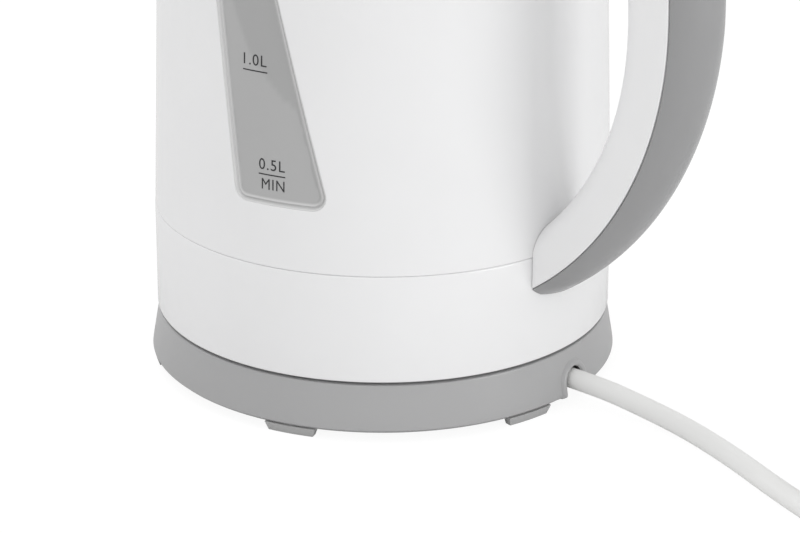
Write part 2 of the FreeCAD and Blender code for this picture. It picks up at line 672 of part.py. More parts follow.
def make_base_plate():
    rim = at.body + size("base_flare") - size("base_wall") - size("plate_gap")
    top = at.base_low + size("plate_thick")
    disc = turned("plate_disc", [(0.0, at.base_low), (rim, at.base_low), (rim, top), (0.0, top)])
    inner = at.body - size("rib_inset")
    outer = inner + size("rib_thick")
    rib = turned("plate_rib", [
        (inner, top), (outer, top), (outer, top + size("rib_rise")), (inner, top + size("rib_rise"))])
    slot = notch_prism("plate_slot", size("notch_width"), at.base_low - SPARE)
    hole = post("plate_hole", size("screw_hole"), at.base_low - SPARE, top + SPARE, size("screw_circle"))
    clamp_gap = moved(grouped("clamp_gap_turned", block(
        "clamp_gap", inner - SPARE, outer + SPARE, size("clamp_width") + SPARE, top,
        top + size("rib_rise") + SPARE)), angle=size("cord_azimuth"))
    body = joined("plate_form", disc, cut("plate_ring", rib, clamp_gap))
    drilled = cut("plate_drilled", body, ringed("plate_holes", hole, size("screw_turn")))
    node(cut("base_plate", drilled, slot), "base_plate")


def make_feet():
    """Six pads under the base's edge, whose face and ends taper towards the table."""
    outer = at.body + size("base_flare") - size("foot_inset")
    inner = outer - size("foot_depth")
    taper = size("foot_taper")
    half = size("foot_length") / 2
    pad = turned("foot_band", [
        (inner, 0.0), (outer - taper, 0.0), (outer, at.base_low), (inner, at.base_low)])
    key = lengthwise("foot_key", inner - SPARE, outer + SPARE, [
        (taper - half, 0.0), (half - taper, 0.0), (half, at.base_low), (-half, at.base_low)])
    foot = moved(grouped("foot_turned", shared("foot_form", pad, key)), angle=size("foot_turn"))
    node(around("base_feet", foot, int(sheet.get("foot_count"))), "base_feet")


def make_base_screws():
    """Three screws up through the plate into the cover's bosses."""
    low = at.base_low - size("shank_radius")
    shank = post("screw_shank", size("shank_radius"), low, low + size("shank_length"), size("screw_circle"))
    head = post("screw_head", size("head_radius"), at.base_low - size("head_thick"), at.base_low,
                size("screw_circle"))
    node(ringed("screws", joined("screw", shank, head), size("screw_turn")), "base_screws")


def make_tower():
    """The base half of the 360 degree coupling: rings about a central well."""
    radius = size("tower_radius")
    well = size("socket_radius")
    top = at.plateau + size("tower_rise")
    slot_low = top - size("slot_depth")
    outer_slot = radius - size("tower_wall")
    ring_inner = outer_slot - size("outer_slot")
    inner_slot = well + size("well_wall") + size("inner_slot")
    low = at.base_low + size("plate_thick")
    stand = low + size("tower_stand")
    tower = turned("coupling_tower", [
        (well, stand),
        (radius + size("step_width"), stand),
        (radius + size("step_width"), at.step_top),
        (radius, at.step_top),
        (radius, top - size("tower_ease")),
        (radius - size("tower_ease"), top),
        (outer_slot, top),
        (outer_slot, slot_low),
        (ring_inner, slot_low),
        (ring_inner, top),
        (inner_slot, top),
        (inner_slot, slot_low),
        (well + size("well_wall"), slot_low),
        (well + size("well_wall"), top),
        (well, top),
    ])
    leg = block("tower_leg", radius / 2, radius + size("tower_wall"), size("step_width"), low, stand)
    node(joined("coupling_base", tower, around("tower_legs", leg, SCREWS)), "coupling_base")
    gap = size("contact_gap")
    rings = []
    for name, inner, outer in (("contact_outer", ring_inner, outer_slot),
                               ("contact_inner", well + size("well_wall"), inner_slot)):
        rings.append(turned(name, [
            (inner + gap, slot_low + gap), (outer - gap, slot_low + gap),
            (outer - gap, slot_low + size("contact_rise")), (inner + gap, slot_low + size("contact_rise"))]))
    node(grouped("base_contacts", *rings), "base_contacts")


def make_guide_ring():
    """The coupling's guide ring, which the jug's socket takes round with it."""
    inner = size("tower_radius") + size("pin_gap") * 2
    outer = size("tower_radius") + size("ring_width")
    low = at.step_top + size("seat_gap")
    high = low + size("ring_thick")
    node(turned("guide_ring", [(inner, low), (outer, low), (outer, high), (inner, high)]), "guide_ring")


def make_cord_clamp():
    """The saddle that grips the cord just inside the notch, with its two screws."""
    low = at.base_low + size("plate_thick")
    high = low + size("clamp_rise")
    end = CORD_ROUTE[0][0] - size("seat_gap")
    start = end - size("clamp_length")
    middle = (start + end) / 2
    saddle = block("clamp_block", start, end, size("clamp_width"), low, high)
    deep = low + size("shank_radius") * 2
    holes = []
    screws = []
    for side in (-1, 1):
        y = size("clamp_pitch") / 2 * side
        holes.append(post(f"clamp_hole_{side + 1}", size("pilot_radius"), deep, high + SPARE, middle, y))
        shank = post(f"clamp_shank_{side + 1}", size("shank_radius"), deep, high, middle, y)
        head = post(f"clamp_head_{side + 1}", size("clamp_head"), high, high + size("clamp_head_thick"),
                    middle, y)
        screws.append(joined(f"clamp_screw_{side + 1}", shank, head))
    drilled = cut("clamp_drilled", saddle, grouped("clamp_holes", *holes))
    node(moved(grouped("cord_clamp", drilled), angle=size("cord_azimuth")), "cord_clamp")
    node(moved(grouped("clamp_screws", *screws), angle=size("cord_azimuth")), "clamp_screws")


# ---------------------------------------------------------------- supply cord and plug

def rounded_path(route):
    """Straight runs joined by tangent arcs, and the smallest arc's radius."""
    points = [Vector(*point) for point in route]
    edges = []
    radii = []
    start = points[0]
    for before, corner, after in zip(points, points[1:], points[2:]):
        entry = (before - corner).normalize()
        leave = (after - corner).normalize()
        turn = math.pi - entry.getAngle(leave)
        run = min((before - corner).Length, (after - corner).Length)
        setback = BEND_SHARE * run
        radii.append(setback / math.tan(turn / 2))
        middle = (entry + leave).normalize()
        reach = math.hypot(radii[-1], setback) - radii[-1]
        first, last = corner + entry * setback, corner + leave * setback
        edges.append(Part.LineSegment(start, first).toShape())
        edges.append(Part.Arc(first, corner + middle * reach, last).toShape())
        start = last
    edges.append(Part.LineSegment(start, points[-1]).toShape())
    return Part.Wire(edges), radii


def make_tube(name, route):
    """A plain tube along a stretch of cord."""
    wire, radii = rounded_path(route)
    gauge = size("cord_gauge").number
    direction = Vector(*route[1]) - Vector(*route[0])
    ring = Part.Wire(Part.Circle(Vector(*route[0]), direction, gauge / 2).toShape())
    tube = doc.addObject("Part::Feature", name)
    tube.Shape = wire.makePipeShell([ring], True, False)
    tube.Placement = FreeCAD.Placement()
    expected = math.pi * (gauge / 2) ** 2 * wire.Length
    print(name, "length", round(wire.Length, 1), "radii", [round(radius) for radius in radii],
          "volume ratio", round(tube.Shape.Volume / expected, 4))
    node(tube, name)
    return wire.Length


def make_cord():
    make_tube("power_cord", CORD_ROUTE)
    make_tube("cord_tail", TAIL_ROUTE)
    gauge = size("cord_gauge")
    outer = gauge + COIL_RADIUS
    inner = COIL_RADIUS - gauge
    edge = size("coil_ease")
    coil = turned("cord_coil", [
        (inner + edge, 0.0, edge, 1), (outer - edge, 0.0), (outer, edge, edge, 1),
        (outer, gauge * 2 - edge), (outer - edge, gauge * 2, edge, 1), (inner + edge, gauge * 2),
        (inner, gauge * 2 - edge, edge, 1), (inner, edge)])
    node(moved(coil, COIL_CENTRE[0], COIL_CENTRE[1], 0.0), "cord_coil")


def lay_plug(obj):
    """Turns a piece made about Z, face up at z = 0, along the cord's tail on the table."""
    tip = Vector(*TAIL_ROUTE[-1])
    heading = FreeCAD.Rotation(Vector(0, 0, 1), TAIL_HEADING)
    lean = FreeCAD.Rotation(Vector(0, 1, 0), 90)
    obj.Placement = FreeCAD.Placement(Vector(tip.x, tip.y, 0), heading.multiply(lean))
    obj.setExpression("Placement.Base.z", size("plug_radius").text)
    return obj


def make_plug():
    """A moulded two-pin plug with an earth clip on each side, strain relief first."""
    relief = size("relief_length")
    length = size("plug_length")
    radius = size("plug_radius") - size("plug_inset")
    face = relief + length
    half = size("cord_gauge") / 2
    ease = size("plug_ease")
    form = turned("plug_form", [
        (0.0, ease / 2), (half + size("relief_wall"), ease / 2), (half + size("relief_wall") * 3, relief),
        (radius - size("waist"), relief + length * size("waist_start")),
        (radius - size("waist"), relief + length * size("waist_end")),
        (radius, relief + length * size("flare_end")), (radius, face - ease), (radius - ease, face),
        (0.0, face)])
    reach = size("clip_reach")
    grooves = [block(f"clip_groove_{side + 1}", reach * side - size("groove_depth") / 2,
                     reach * side + size("groove_depth") / 2, size("groove_width"),
                     face - size("groove_length"), face + SPARE) for side in (-1, 1)]
    shaped = cut("plug_shaped", form, joined("plug_cuts", *grooves))
    node(lay_plug(grouped("plug_body", shaped)), "plug_body")
    prongs = [post(f"prong_{side + 1}", size("prong_radius"), face + size("prong_gap"),
                   face + size("prong_length"), 0.0, size("prong_spacing") / 2 * side) for side in (-1, 1)]
    node(lay_plug(grouped("plug_pins", *prongs)), "plug_pins")
    floor = reach - size("groove_depth") / 2 + size("clip_seat")
    clips = []
    for side, low in ((-1, -floor - size("clip_thick")), (1, floor)):
        clips.append(block(f"clip_{side + 1}", low, low + size("clip_thick"), size("clip_width"),
                           face - size("groove_length") + size("clip_end"), face - size("clip_end")))
    node(lay_plug(grouped("plug_earth_clips", *clips)), "plug_earth_clips")


# ---------------------------------------------------------------- jug

def body_tool():
    """Everything inside the jug's outer surface, a hair larger, to fit pieces onto it."""
    gap = size("body_gap")
    return turned("body_core", [
        (0.0, at.skirt_low), (at.body + gap, at.skirt_low),
        (at.body + gap, at.skirt_low + size("skirt_lead")),
        (at.body - size("skirt_draft") + gap, at.seam),
        (at.shell_low_radius + gap, at.seam), (at.shell_top_radius + gap, at.shell_top),
        (at.shell_top_radius + gap, at.collar_top), (0.0, at.collar_top)])


def make_skirt():
    """The lower band, with the release slot under the handle's nose."""
    wall = size("skirt_wall")
    lead = size("skirt_lead")
    skirt = turned("skirt_shell", [
        (at.body - lead, at.skirt_low), (at.body, at.skirt_low + lead, lead, 1),
        (at.body - size("skirt_draft"), at.seam - size("seam_gap")),
        (at.body - size("skirt_draft") - wall, at.seam - size("seam_gap")),
        (at.skirt_inner, at.skirt_low)])
    high = nose_height() + size("chin_cut") + size("slot_gap")
    slot = block("release_slot", at.body - size("release_depth"), at.body + SPARE, size("slot_width"),
                 high - size("slot_rise"), high)
    node(cut("jug_skirt", skirt, slot), "jug_skirt")


def nose_height():
    """Height at which the crown of the handle's cover meets the body."""
    radius = size("back_radius") + size("nose_crown")
    return arc_height(radius, at.back_x, at.back_z, at.body)


def spout_outline(reach, width, nose):
    """A V in plan: two flanks from the shell that meet at a rounded nose."""
    half = width / 2
    across = nose * sine(size("nose_turn"))
    along = nose * (1.0 - cosine(size("nose_turn"))) - reach
    return [(-size("spout_root"), half), (along, across), (along, -across, nose, 1),
            (-size("spout_root"), -half)]


def spout_form(name, inset, low, high):
    """The spout's wedge, growing from nothing on the shell to its full reach at the rim."""
    body = doc.addObject("PartDesign::Body", name)
    inset = Dim.of(inset)
    lower = draw(sketch_in(body, f"{name}_low", "XY_Plane"),
                 spout_outline(at.shell_top_radius + size("spout_start") - inset,
                               size("spout_low_width"), size("nose_low")))
    upper = draw(sketch_in(body, f"{name}_high", "XY_Plane"),
                 spout_outline(at.body + size("spout_reach") - inset, size("spout_width") - inset * 2,
                               size("nose_high") - inset / 2))
    for sketch, height in ((lower, low), (upper, high)):
        sketch.AttachmentOffset = FreeCAD.Placement(Vector(0, 0, evaluated(height)), FreeCAD.Rotation())
        sketch.setExpression("AttachmentOffset.Base.z", Dim.of(height).text)
    loft = body.newObject("PartDesign::AdditiveLoft", f"{name}_loft")
    loft.Profile = lower
    loft.Sections = [upper]
    return body


def round_edges(body, name, radius, chosen):
    """Fillets the edges of a body that a test picks."""
    doc.recompute()
    names = [f"Edge{number}" for number, edge in enumerate(body.Shape.Edges, start=1) if chosen(edge)]
    fillet = body.newObject("PartDesign::Fillet", name)
    fillet.Base = (body.Tip if body.Tip != fillet else fillet.BaseFeature, names)
    bind(fillet, "Radius", radius)
    return body


def window_prism(name, grow, corner, depth):
    """The window's slanted outline with rounded corners, drawn out through the shell's wall."""
    low = at.seam + size("window_low") - grow
    high = at.seam + size("window_low") + size("window_rise") + grow
    left, right = size("window_left") + grow, size("window_right") + grow
    body = doc.addObject("PartDesign::Body", name)
    sketch = draw(sketch_in(body, f"{name}_outline", "YZ_Plane"), [
        (-left, low), (right, low), (right - size("window_right_lean"), high),
        (-left - size("window_left_lean"), high)])
    pad = body.newObject("PartDesign::Pad", f"{name}_pad")
    pad.Profile = sketch
    bind(pad, "Length", depth)
    doc.recompute()
    round_edges(body, f"{name}_corners", corner, lambda edge: abs(edge.tangentAt(0).x) > SQUARE)
    return moved(body, angle=size("window_azimuth"))


def make_shell():
    """The jug's upper body: tapered wall, neck and floor flange, spout and window aperture."""
    flange_bore = size("plate_radius") - size("plate_lap")
    neck_low = at.floor - size("neck_drop")
    outside = turned("shell_outside", [
        (0.0, neck_low), (at.neck_outer, neck_low), (at.neck_outer, at.seam),
        (at.shell_low_radius, at.seam), (at.shell_top_radius, at.shell_top), (0.0, at.shell_top)])
    inside = turned("shell_inside", [
        (0.0, neck_low - SPARE), (at.neck_inner, neck_low - SPARE),
        (at.neck_inner, at.flange_low), (flange_bore, at.flange_low), (flange_bore, at.floor),
        (at.neck_inner, at.floor), (at.shell_low_radius - size("shell_wall"), at.seam + size("neck_taper")),
        (at.mouth, at.shell_top), (at.mouth, at.shell_top + SPARE), (0.0, at.shell_top + SPARE)])
    low = at.shell_top - size("spout_drop")
    outer = spout_form("spout_outside", 0.0, low, at.shell_top)
    inner = spout_form("spout_inside", size("spout_wall"), low + size("spout_wall") * 2,
                       at.shell_top + HAIR)
    keep_out = at.mouth - size("shell_wall")
    behind = turned("spout_behind", [
        (0.0, low - SPARE), (keep_out, low - SPARE), (keep_out, at.shell_top + SPARE),
        (0.0, at.shell_top + SPARE)])
    solid = joined("shell_solid", outside, cut("spout_wedge", outer, behind))
    circle = at.neck_inner - size("jug_screw_inset")
    boss = post("shell_boss", size("jug_boss_radius"), at.under + size("jug_boss_low"),
                at.flange_low + size("flange_thick") / 4, circle)
    drill = post("shell_drill", size("pilot_radius"), at.under, at.flange_low - SPARE, circle)
    hollow = cut("shell_hollow", solid, joined("shell_void", inside, inner))
    filter_low = at.shell_top - size("collar_plug") - SPARE - size("filter_rise")
    rails = [block(f"filter_rail_{side + 1}", -(at.mouth + SPARE),
                   -(at.mouth - size("filter_inset") - size("filter_thick")), size("rail_width"),
                   filter_low - size("rail_drop"), at.shell_top - size("collar_plug") - SPARE,
                   (size("filter_width") / 2 + size("rail_gap") + size("rail_width") / 2) * side)
             for side in (-1, 1)]
    keep = turned("rail_keep", [
        (0.0, low), (at.shell_low_radius - size("shell_wall") / 2, low),
        (at.mouth + size("shell_wall") / 4, at.shell_top), (0.0, at.shell_top)])
    ribs = shared("filter_ribs", joined("filter_rails", *rails), keep)
    whole = cut("shell_drilled", joined("shell_form", hollow, ringed(
        "shell_bosses", boss, size("jug_screw_turn")), ribs), ringed(
        "shell_drills", drill, size("jug_screw_turn")))
    aperture = window_prism("window_hole", 0.0, size("window_corner"), at.body + SPARE)
    steam = block("steam_slots", at.mouth - SPARE, at.shell_top_radius + SPARE, size("steam_width"),
                  at.shell_top - size("steam_drop"), at.shell_top - size("steam_drop") + size("steam_rise"))
    node(cut("jug_shell", whole, joined("shell_openings", aperture, steam)), "jug_shell")


def make_window():
    """The smoked panel: its face fills the aperture and its lap is welded behind the wall."""
    back = size("shell_wall") + size("window_skin")
    lap_face = size("shell_wall") + size("body_gap")
    low, high = at.shell_low_radius, at.shell_top_radius
    zones = []
    for name, face in (("window_face_zone", size("window_recess")), ("window_lap_zone", lap_face)):
        zones.append(turned(name, [
            (low - back, at.seam), (low - face, at.seam), (high - face, at.shell_top),
            (high - back, at.shell_top)]))
    gap = size("window_gap")
    lap = size("window_lap")
    face = shared("window_face", window_prism("window_plug", -gap, size("window_corner") - gap,
                                              at.body + SPARE), zones[0])
    skin = shared("window_back", window_prism("window_skin_form", lap, size("window_corner") + lap,
                                              at.body + SPARE), zones[1])
    node(joined("water_window", face, skin), "water_window")


def make_collar():
    """The rim collar: its spigot plugs into the shell, and its rear deck carries the lid's hinge."""
    spigot = at.mouth - size("body_gap")
    low = at.shell_top - size("collar_plug")
    ring = turned("collar_ring", [
        (at.collar_inner, low), (spigot, low), (spigot, at.shell_top), (at.shell_top_radius, at.shell_top),
        (at.shell_top_radius - size("collar_draft"), at.collar_top), (at.collar_inner, at.collar_top)])
    deck_disc = turned("deck_disc", [
        (0.0, at.deck_low), (spigot, at.deck_low), (spigot, at.collar_top), (0.0, at.collar_top)])
    rear = block("deck_reach", at.deck_edge, at.body, at.body * 2, at.deck_low - SPARE,
                 at.collar_top + SPARE)
    deck = shared("collar_deck", deck_disc, rear)
    deep = at.shell_top - size("collar_plug") * 4
    spout_gap = spout_form("collar_spout", size("spout_wall"), deep, at.collar_top + SPARE)
    spout_out = spout_form("collar_spout_out", 0.0, deep, at.collar_top + HAIR)
    nose = at.body + size("spout_reach") + SPARE
    front = block("collar_spout_keep", -nose, -size("spout_root"), at.body * 2, at.shell_top, at.collar_top)
    rim_spout = cut("collar_lips", shared("collar_spout_rim", spout_out, front), spout_gap)
    inner = turned("collar_bore", [
        (0.0, deep), (at.collar_inner, deep), (at.collar_inner, at.collar_top + SPARE),
        (0.0, at.collar_top + SPARE)])
    form = joined("collar_form", cut("collar_open", ring, spout_gap), deck,
                  cut("collar_lip_form", rim_spout, inner))
    width = size("knuckle_width") + size("seat_gap") * 2
    slot = block("knuckle_slot", at.deck_edge - SPARE * 3,
                 at.hinge_x + size("knuckle_radius") + size("knuckle_room"), width,
                 at.deck_low - SPARE, at.collar_top + SPARE)
    bore = axle("pin_bore", size("pin_radius") + size("pin_gap"),
                size("knuckle_width") + size("pin_reach") * 2 + SPARE / 2, at.hinge_x, at.hinge_z)
    node(cut("rim_collar", form, joined("collar_cuts", slot, bore)), "rim_collar")


def make_hinge_pin():
    node(axle("hinge_pin_rod", size("pin_radius"), size("knuckle_width") + size("pin_reach") * 2,
              at.hinge_x, at.hinge_z), "hinge_pin")


def make_lid():
    """A crowned cap over the collar, with a liner that drops into the mouth."""
    rim = at.shell_top_radius - size("lid_inset")
    low = at.collar_top + size("seat_gap")
    top = low + size("lid_thick")
    crown = size("lid_crown")
    ease = size("lid_ease")
    land = rim - ease
    radius = (land * land + crown * crown) / (crown * 2)
    cap = turned("cap_form", [
        (0.0, low), (rim - ease, low), (rim, low + ease), (rim, top - ease), (land, top, ease, 1),
        (0.0, top + crown, radius, 1)])
    chord = size("lid_chord")
    front = block("cap_front", -(rim + SPARE), chord, (rim + SPARE) * 2, low - SPARE, top + crown + SPARE)
    knuckle_radius = size("knuckle_radius")
    width = size("knuckle_width")
    knuckle = axle("lid_knuckle", knuckle_radius, width, at.hinge_x, at.hinge_z)
    arm_low = at.hinge_z + size("arm_rise")
    root_x = chord - size("arm_root")
    arm = block("lid_arm", root_x, at.hinge_x, width, arm_low, at.hinge_z + knuckle_radius)
    riser = block("lid_riser", root_x, chord, width, arm_low, low + SPARE)
    tooth_low = at.hinge_z + size("tooth_rise")
    tooth = block("lid_tooth", at.hinge_x, at.hinge_x + knuckle_radius + size("tooth_lead"),
                  size("tooth_width"), tooth_low, tooth_low + size("tooth_thick"))
    tooth_reach = axle("tooth_keep", knuckle_radius + size("tooth_reach"), size("tooth_width"),
                       at.hinge_x, at.hinge_z)
    bore = axle("knuckle_bore", size("pin_radius") + size("pin_gap"), width + SPARE, at.hinge_x,
                at.hinge_z)
    body = joined("cap_joined", shared("cap_cut", cap, front), knuckle, arm, riser,
                  shared("tooth_form", tooth, tooth_reach))
    node(cut("lid_cap", body, bore), "lid_cap")
    outer = at.collar_inner - size("liner_gap")
    wall = size("liner_wall")
    deep = low - size("liner_drop") - wall
    liner = turned("liner_form", [
        (0.0, low - wall), (outer - wall, low - wall), (outer - wall, deep), (outer, deep), (outer, low),
        (0.0, low)])
    keep = block("liner_front", -(outer + SPARE), chord - size("liner_setback"), (outer + SPARE) * 2,
                 deep - SPARE, low + SPARE)
    node(shared("lid_liner", liner, keep), "lid_liner")


def make_filter():
    """A framed mesh across the spout, held by the shell's rails."""
    outer = at.mouth - size("filter_inset")
    inner = outer - size("filter_thick")
    width = size("filter_width")
    high = at.shell_top - size("collar_plug") - SPARE
    low = high - size("filter_rise")
    band = turned("filter_band", [(inner, low), (outer, low), (outer, high), (inner, high)])
    frame = shared("filter_blank", band, block("filter_span", -at.mouth, -at.mouth / 2, width, low, high))
    rim = size("filter_rim")
    pane = width / 2 - rim * 1.25
    panes = [block(f"filter_pane_{side + 1}", -at.mouth, -at.mouth / 2, pane, low + rim, high - rim,
                   (pane + rim / 2) / 2 * side) for side in (-1, 1)]
    node(cut("filter_frame", frame, joined("filter_panes", *panes)), "filter_frame")
    middle = (outer + inner) / 2
    half = size("mesh_thick") / 2
    sheet_band = turned("mesh_band", [(middle - half, low), (middle + half, low), (middle + half, high),
                                      (middle - half, high)])
    meshes = [shared(f"mesh_{index}", sheet_band, opening) for index, opening in enumerate(panes)]
    node(grouped("filter_mesh", *meshes), "filter_mesh")


def make_heater():
    """Heating plate under the flange, its seal, and the brazed heating tube."""
    radius = size("plate_radius")
    bore = radius - size("plate_lap") + size("seat_gap")
    rim = radius + size("seal_lap")
    low = at.plate_low
    node(turned("heating_plate", [
        (0.0, low), (radius, low), (radius, at.plate_top), (0.0, at.plate_top)]), "heating_plate")
    node(turned("plate_seal", [
        (bore, at.plate_top), (rim, at.plate_top), (rim, at.flange_low), (bore, at.flange_low)]),
         "plate_seal")
    tube = size("tube_radius")
    opening = size("ring_open")
    ring = doc.addObject("Part::Torus", "heating_ring")
    bind(ring, "Radius1", size("coil_radius"))
    bind(ring, "Radius2", tube)
    bind(ring, "Angle3", 360.0 - opening * 2)
    moved(ring, z=low - tube, angle=opening)
    ends = [post(f"cold_end_{side + 1}", size("end_radius"), low - tube - size("end_length"), low - tube,
                 size("coil_radius") * cosine(opening), size("coil_radius") * sine(opening) * side)
            for side in (-1, 1)]
    node(joined("heating_element", ring, *ends), "heating_element")


def make_control():
    """The jug half of the coupling with the control's housing above it."""
    bore = size("tower_radius") + size("seat_gap") * 3
    tower_top = at.plateau + size("tower_rise")
    roof = tower_top + size("roof_gap")
    high = roof + size("socket_roof")
    outer = bore + size("socket_wall")
    lip = bore + size("socket_lip")
    lip_top = at.step_top + size("seat_gap") * 2 + size("ring_thick")
    plunger = size("socket_radius") - size("plunger_gap")
    plunger_low = tower_top - size("plunger_drop")
    housing = turned("socket_shell", [
        (lip, at.under), (outer, at.under), (outer, high), (0.0, high), (0.0, plunger_low),
        (plunger, plunger_low), (plunger, roof), (bore, roof), (bore, lip_top), (lip, lip_top)])
    disc_low = at.plate_low - size("disc_gap") - size("disc_thick")
    posts = []
    discs = []
    for side in (-1, 1):
        x = size("disc_reach") * side
        posts.append(post(f"disc_post_{side + 1}", size("post_radius"), high - size("socket_roof") / 8,
                          disc_low - size("boss_seat") / 2, x))
        discs.append(post(f"bimetal_{side + 1}", size("disc_radius"), disc_low,
                          disc_low + size("disc_thick"), x))
    node(joined("jug_socket", housing, *posts), "jug_socket")
    node(grouped("bimetal_discs", *discs), "bimetal_discs")
    node(post("earth_pin_rod", size("earth_radius"), plunger_low - size("earth_drop"),
              plunger_low - size("prong_gap")), "earth_pin")


def make_under():
    """The jug's underside: a disc about the socket, with a wall that presses the plate up."""
    low = at.under
    high = low + size("under_thick")
    hole = size("tower_radius") + size("seat_gap") * 3 + size("socket_wall") + size("window_gap")
    rim = at.neck_inner - size("under_gap")
    wall_out = size("plate_radius") - size("press_inset")
    wall_in = wall_out - size("press_wall")
    disc = turned("under_form", [
        (hole, low), (rim, low), (rim, high), (wall_out, high), (wall_out, at.plate_low),
        (wall_in, at.plate_low), (wall_in, high), (hole, high)])
    circle = at.neck_inner - size("jug_screw_inset")
    turn = size("jug_screw_turn")
    sleeve_top = low + size("jug_boss_low") - size("boss_seat")
    sleeve = post("under_sleeve", size("jug_boss_radius"), low, sleeve_top, circle)
    bore = post("sleeve_bore", size("screw_hole"), low - SPARE, sleeve_top + SPARE, circle)
    body = joined("under_joined", disc, ringed("under_sleeves", sleeve, turn))
    node(cut("jug_underside", body, ringed("sleeve_bores", bore, turn)), "jug_underside")
    shank = post("jug_screw_shank", size("shank_radius"), low - size("seat_gap"),
                 low + size("jug_shank_length"), circle)
    head = post("jug_screw_head", size("jug_head_radius"), low - size("jug_head_thick"), low, circle)
    node(ringed("jug_screw_ring", joined("jug_screw", shank, head), turn), "jug_screws")


# ---------------------------------------------------------------- handle and controls

def back_point(radius, x_mid, z_mid, turn):
    """A point of an arc about (x_mid, z_mid), turned up from the horizontal."""
    return x_mid + radius * cosine(turn), z_mid + radius * sine(turn)


def arc_height(radius, x_mid, z_mid, x):
    """Height of the lower branch of an arc at a given x."""
    return z_mid - root(radius * radius - (x - x_mid) * (x - x_mid))


def armpit_centre(wall):
    """Centre and radius of the inside corner under the handle's head."""
    radius = size("armpit_radius") + wall
    grip_end = back_point(size("grip_crest") + wall, at.grip_crest_x, at.grip_z, size("grip_turn"))
    x = grip_end[0] - radius * cosine(size("grip_turn"))
    return x, grip_end[1] - radius * sine(size("grip_turn")), radius, grip_end


def handle_outline(wall):
    """The white half's side view, or its channel when a wall is taken off the grip side."""
    back = size("back_radius")
    widest = at.body + size("handle_reach")
    grip = size("grip_radius") + wall
    grip_crest = size("grip_crest") + wall
    armpit_x, armpit_z, armpit, grip_end = armpit_centre(wall)
    head = armpit_z + armpit
    inside = at.tuck - size("handle_tuck")
    return [
        (at.tuck, arc_height(grip, at.grip_x, at.grip_z, at.tuck)),
        (at.tuck, arc_height(back, at.back_x, at.back_z, at.tuck)),
        (widest, at.back_z, back, 1),
        (*at.crest_end, size("crest_radius"), 1),
        (at.shoulder_x, at.head_top, size("shoulder_radius"), 1),
        (inside, at.head_top),
        (inside, head),
        (armpit_x, head),
        (*grip_end, armpit, -1),
        (at.body + size("finger_gap") + wall, at.grip_z, grip_crest, -1),
    ]


def closed_by_arc(corners, radius, bulge):
    """The same outline with an arc, instead of a line, back to its first corner."""
    first = (corners[0][0], corners[0][1], radius, bulge)
    return [first] + corners[1:]


def rocker_pivot():
    """Centre of the power switch's rocker, below the cover's crown on the shoulder."""
    reach = size("shoulder_radius") + size("cover_crown") - size("rocker_depth")
    return back_point(reach, at.shoulder_x, at.shoulder_z, size("rocker_place"))


def rounded_grip(body, wall):
    """Rounds the edges of a side view that follow the grip, the armpit and the head's underside."""
    half = size("handle_width").number / 2 - wall.number
    curves = [size(name).number + wall.number for name in ("grip_radius", "grip_crest", "armpit_radius")]
    head = armpit_centre(wall)[1] + armpit_centre(wall)[2]

    def on_grip(edge):
        """Edges of the two flat sides that follow one of the grip's curves or the head."""
        middle = edge.CenterOfMass
        if abs(abs(middle.y) - half) > HAIR:
            return False
        radius = getattr(edge.Curve, "Radius", 0.0)
        level = edge.BoundBox.ZLength < HAIR and abs(middle.z - head.number) < HAIR
        return level or any(abs(radius - curve) < HAIR for curve in curves)

    return round_edges(body, f"{body.Name}_rounding", size("grip_round") - wall, on_grip)


def make_handle_shell():
    """The white half: a channel from the skirt to the rim, open at the back."""
    grip = size("grip_radius")
    none = Dim.of(0.0)
    wall = size("handle_wall")
    shell = upright("handle_blank", closed_by_arc(handle_outline(none), grip, -1), size("handle_width"))
    rounded_grip(shell, none)
    channel = upright("handle_channel", closed_by_arc(handle_outline(wall), grip + wall, -1),
                      size("handle_width") - wall * 2)
    rounded_grip(channel, wall)
    pivot_x, pivot_z = rocker_pivot()
    trunnions = axle("trunnion_holes", size("trunnion_radius") + size("pin_gap"),
                     size("handle_width") - size("trunnion_inset") * 2 + size("control_gap") * 2,
                     pivot_x, pivot_z)
    far = at.body + size("handle_reach") + SPARE
    high = at.head_top + SPARE
    back = joined("channel_keep",
                  block("channel_reach", at.body + size("root_wall"), far, size("handle_width"),
                        at.skirt_low, high),
                  block("channel_head", at.shell_top_radius + size("handle_wall"), far,
                        size("handle_width"), at.back_z, high))
    void = joined("handle_void", shared("channel_cut", channel, back), trunnions)
    node(cut("handle_shell", cut("handle_hollow", shell, void), body_tool()), "handle_shell")


def cover_path():
    """The line along the handle's back that the cover's section follows, nose first."""
    path = doc.addObject("Sketcher::SketchObject", "cover_path")
    path.Placement = FreeCAD.Placement(Vector(), FreeCAD.Rotation(Vector(1, 0, 0), 90))
    back = size("back_radius")
    return draw(path, [
        (at.tuck, arc_height(back, at.back_x, at.back_z, at.tuck)),
        (at.body + size("handle_reach"), at.back_z, back, 1),
        (*at.crest_end, size("crest_radius"), 1),
        (at.shoulder_x, at.head_top, size("shoulder_radius"), 1),
        (at.front, at.head_top)], closed=False)


def crown_section(name, half, crown, lift):
    """A crowned section: out along X from its base line, even about that axis."""
    section = doc.addObject("Sketcher::SketchObject", name)
    radius = (half * half + crown * crown) / (crown * 2)
    return draw(section, [(lift, -half), (crown + lift, 0.0, radius, 1), (lift, half, radius, 1)])


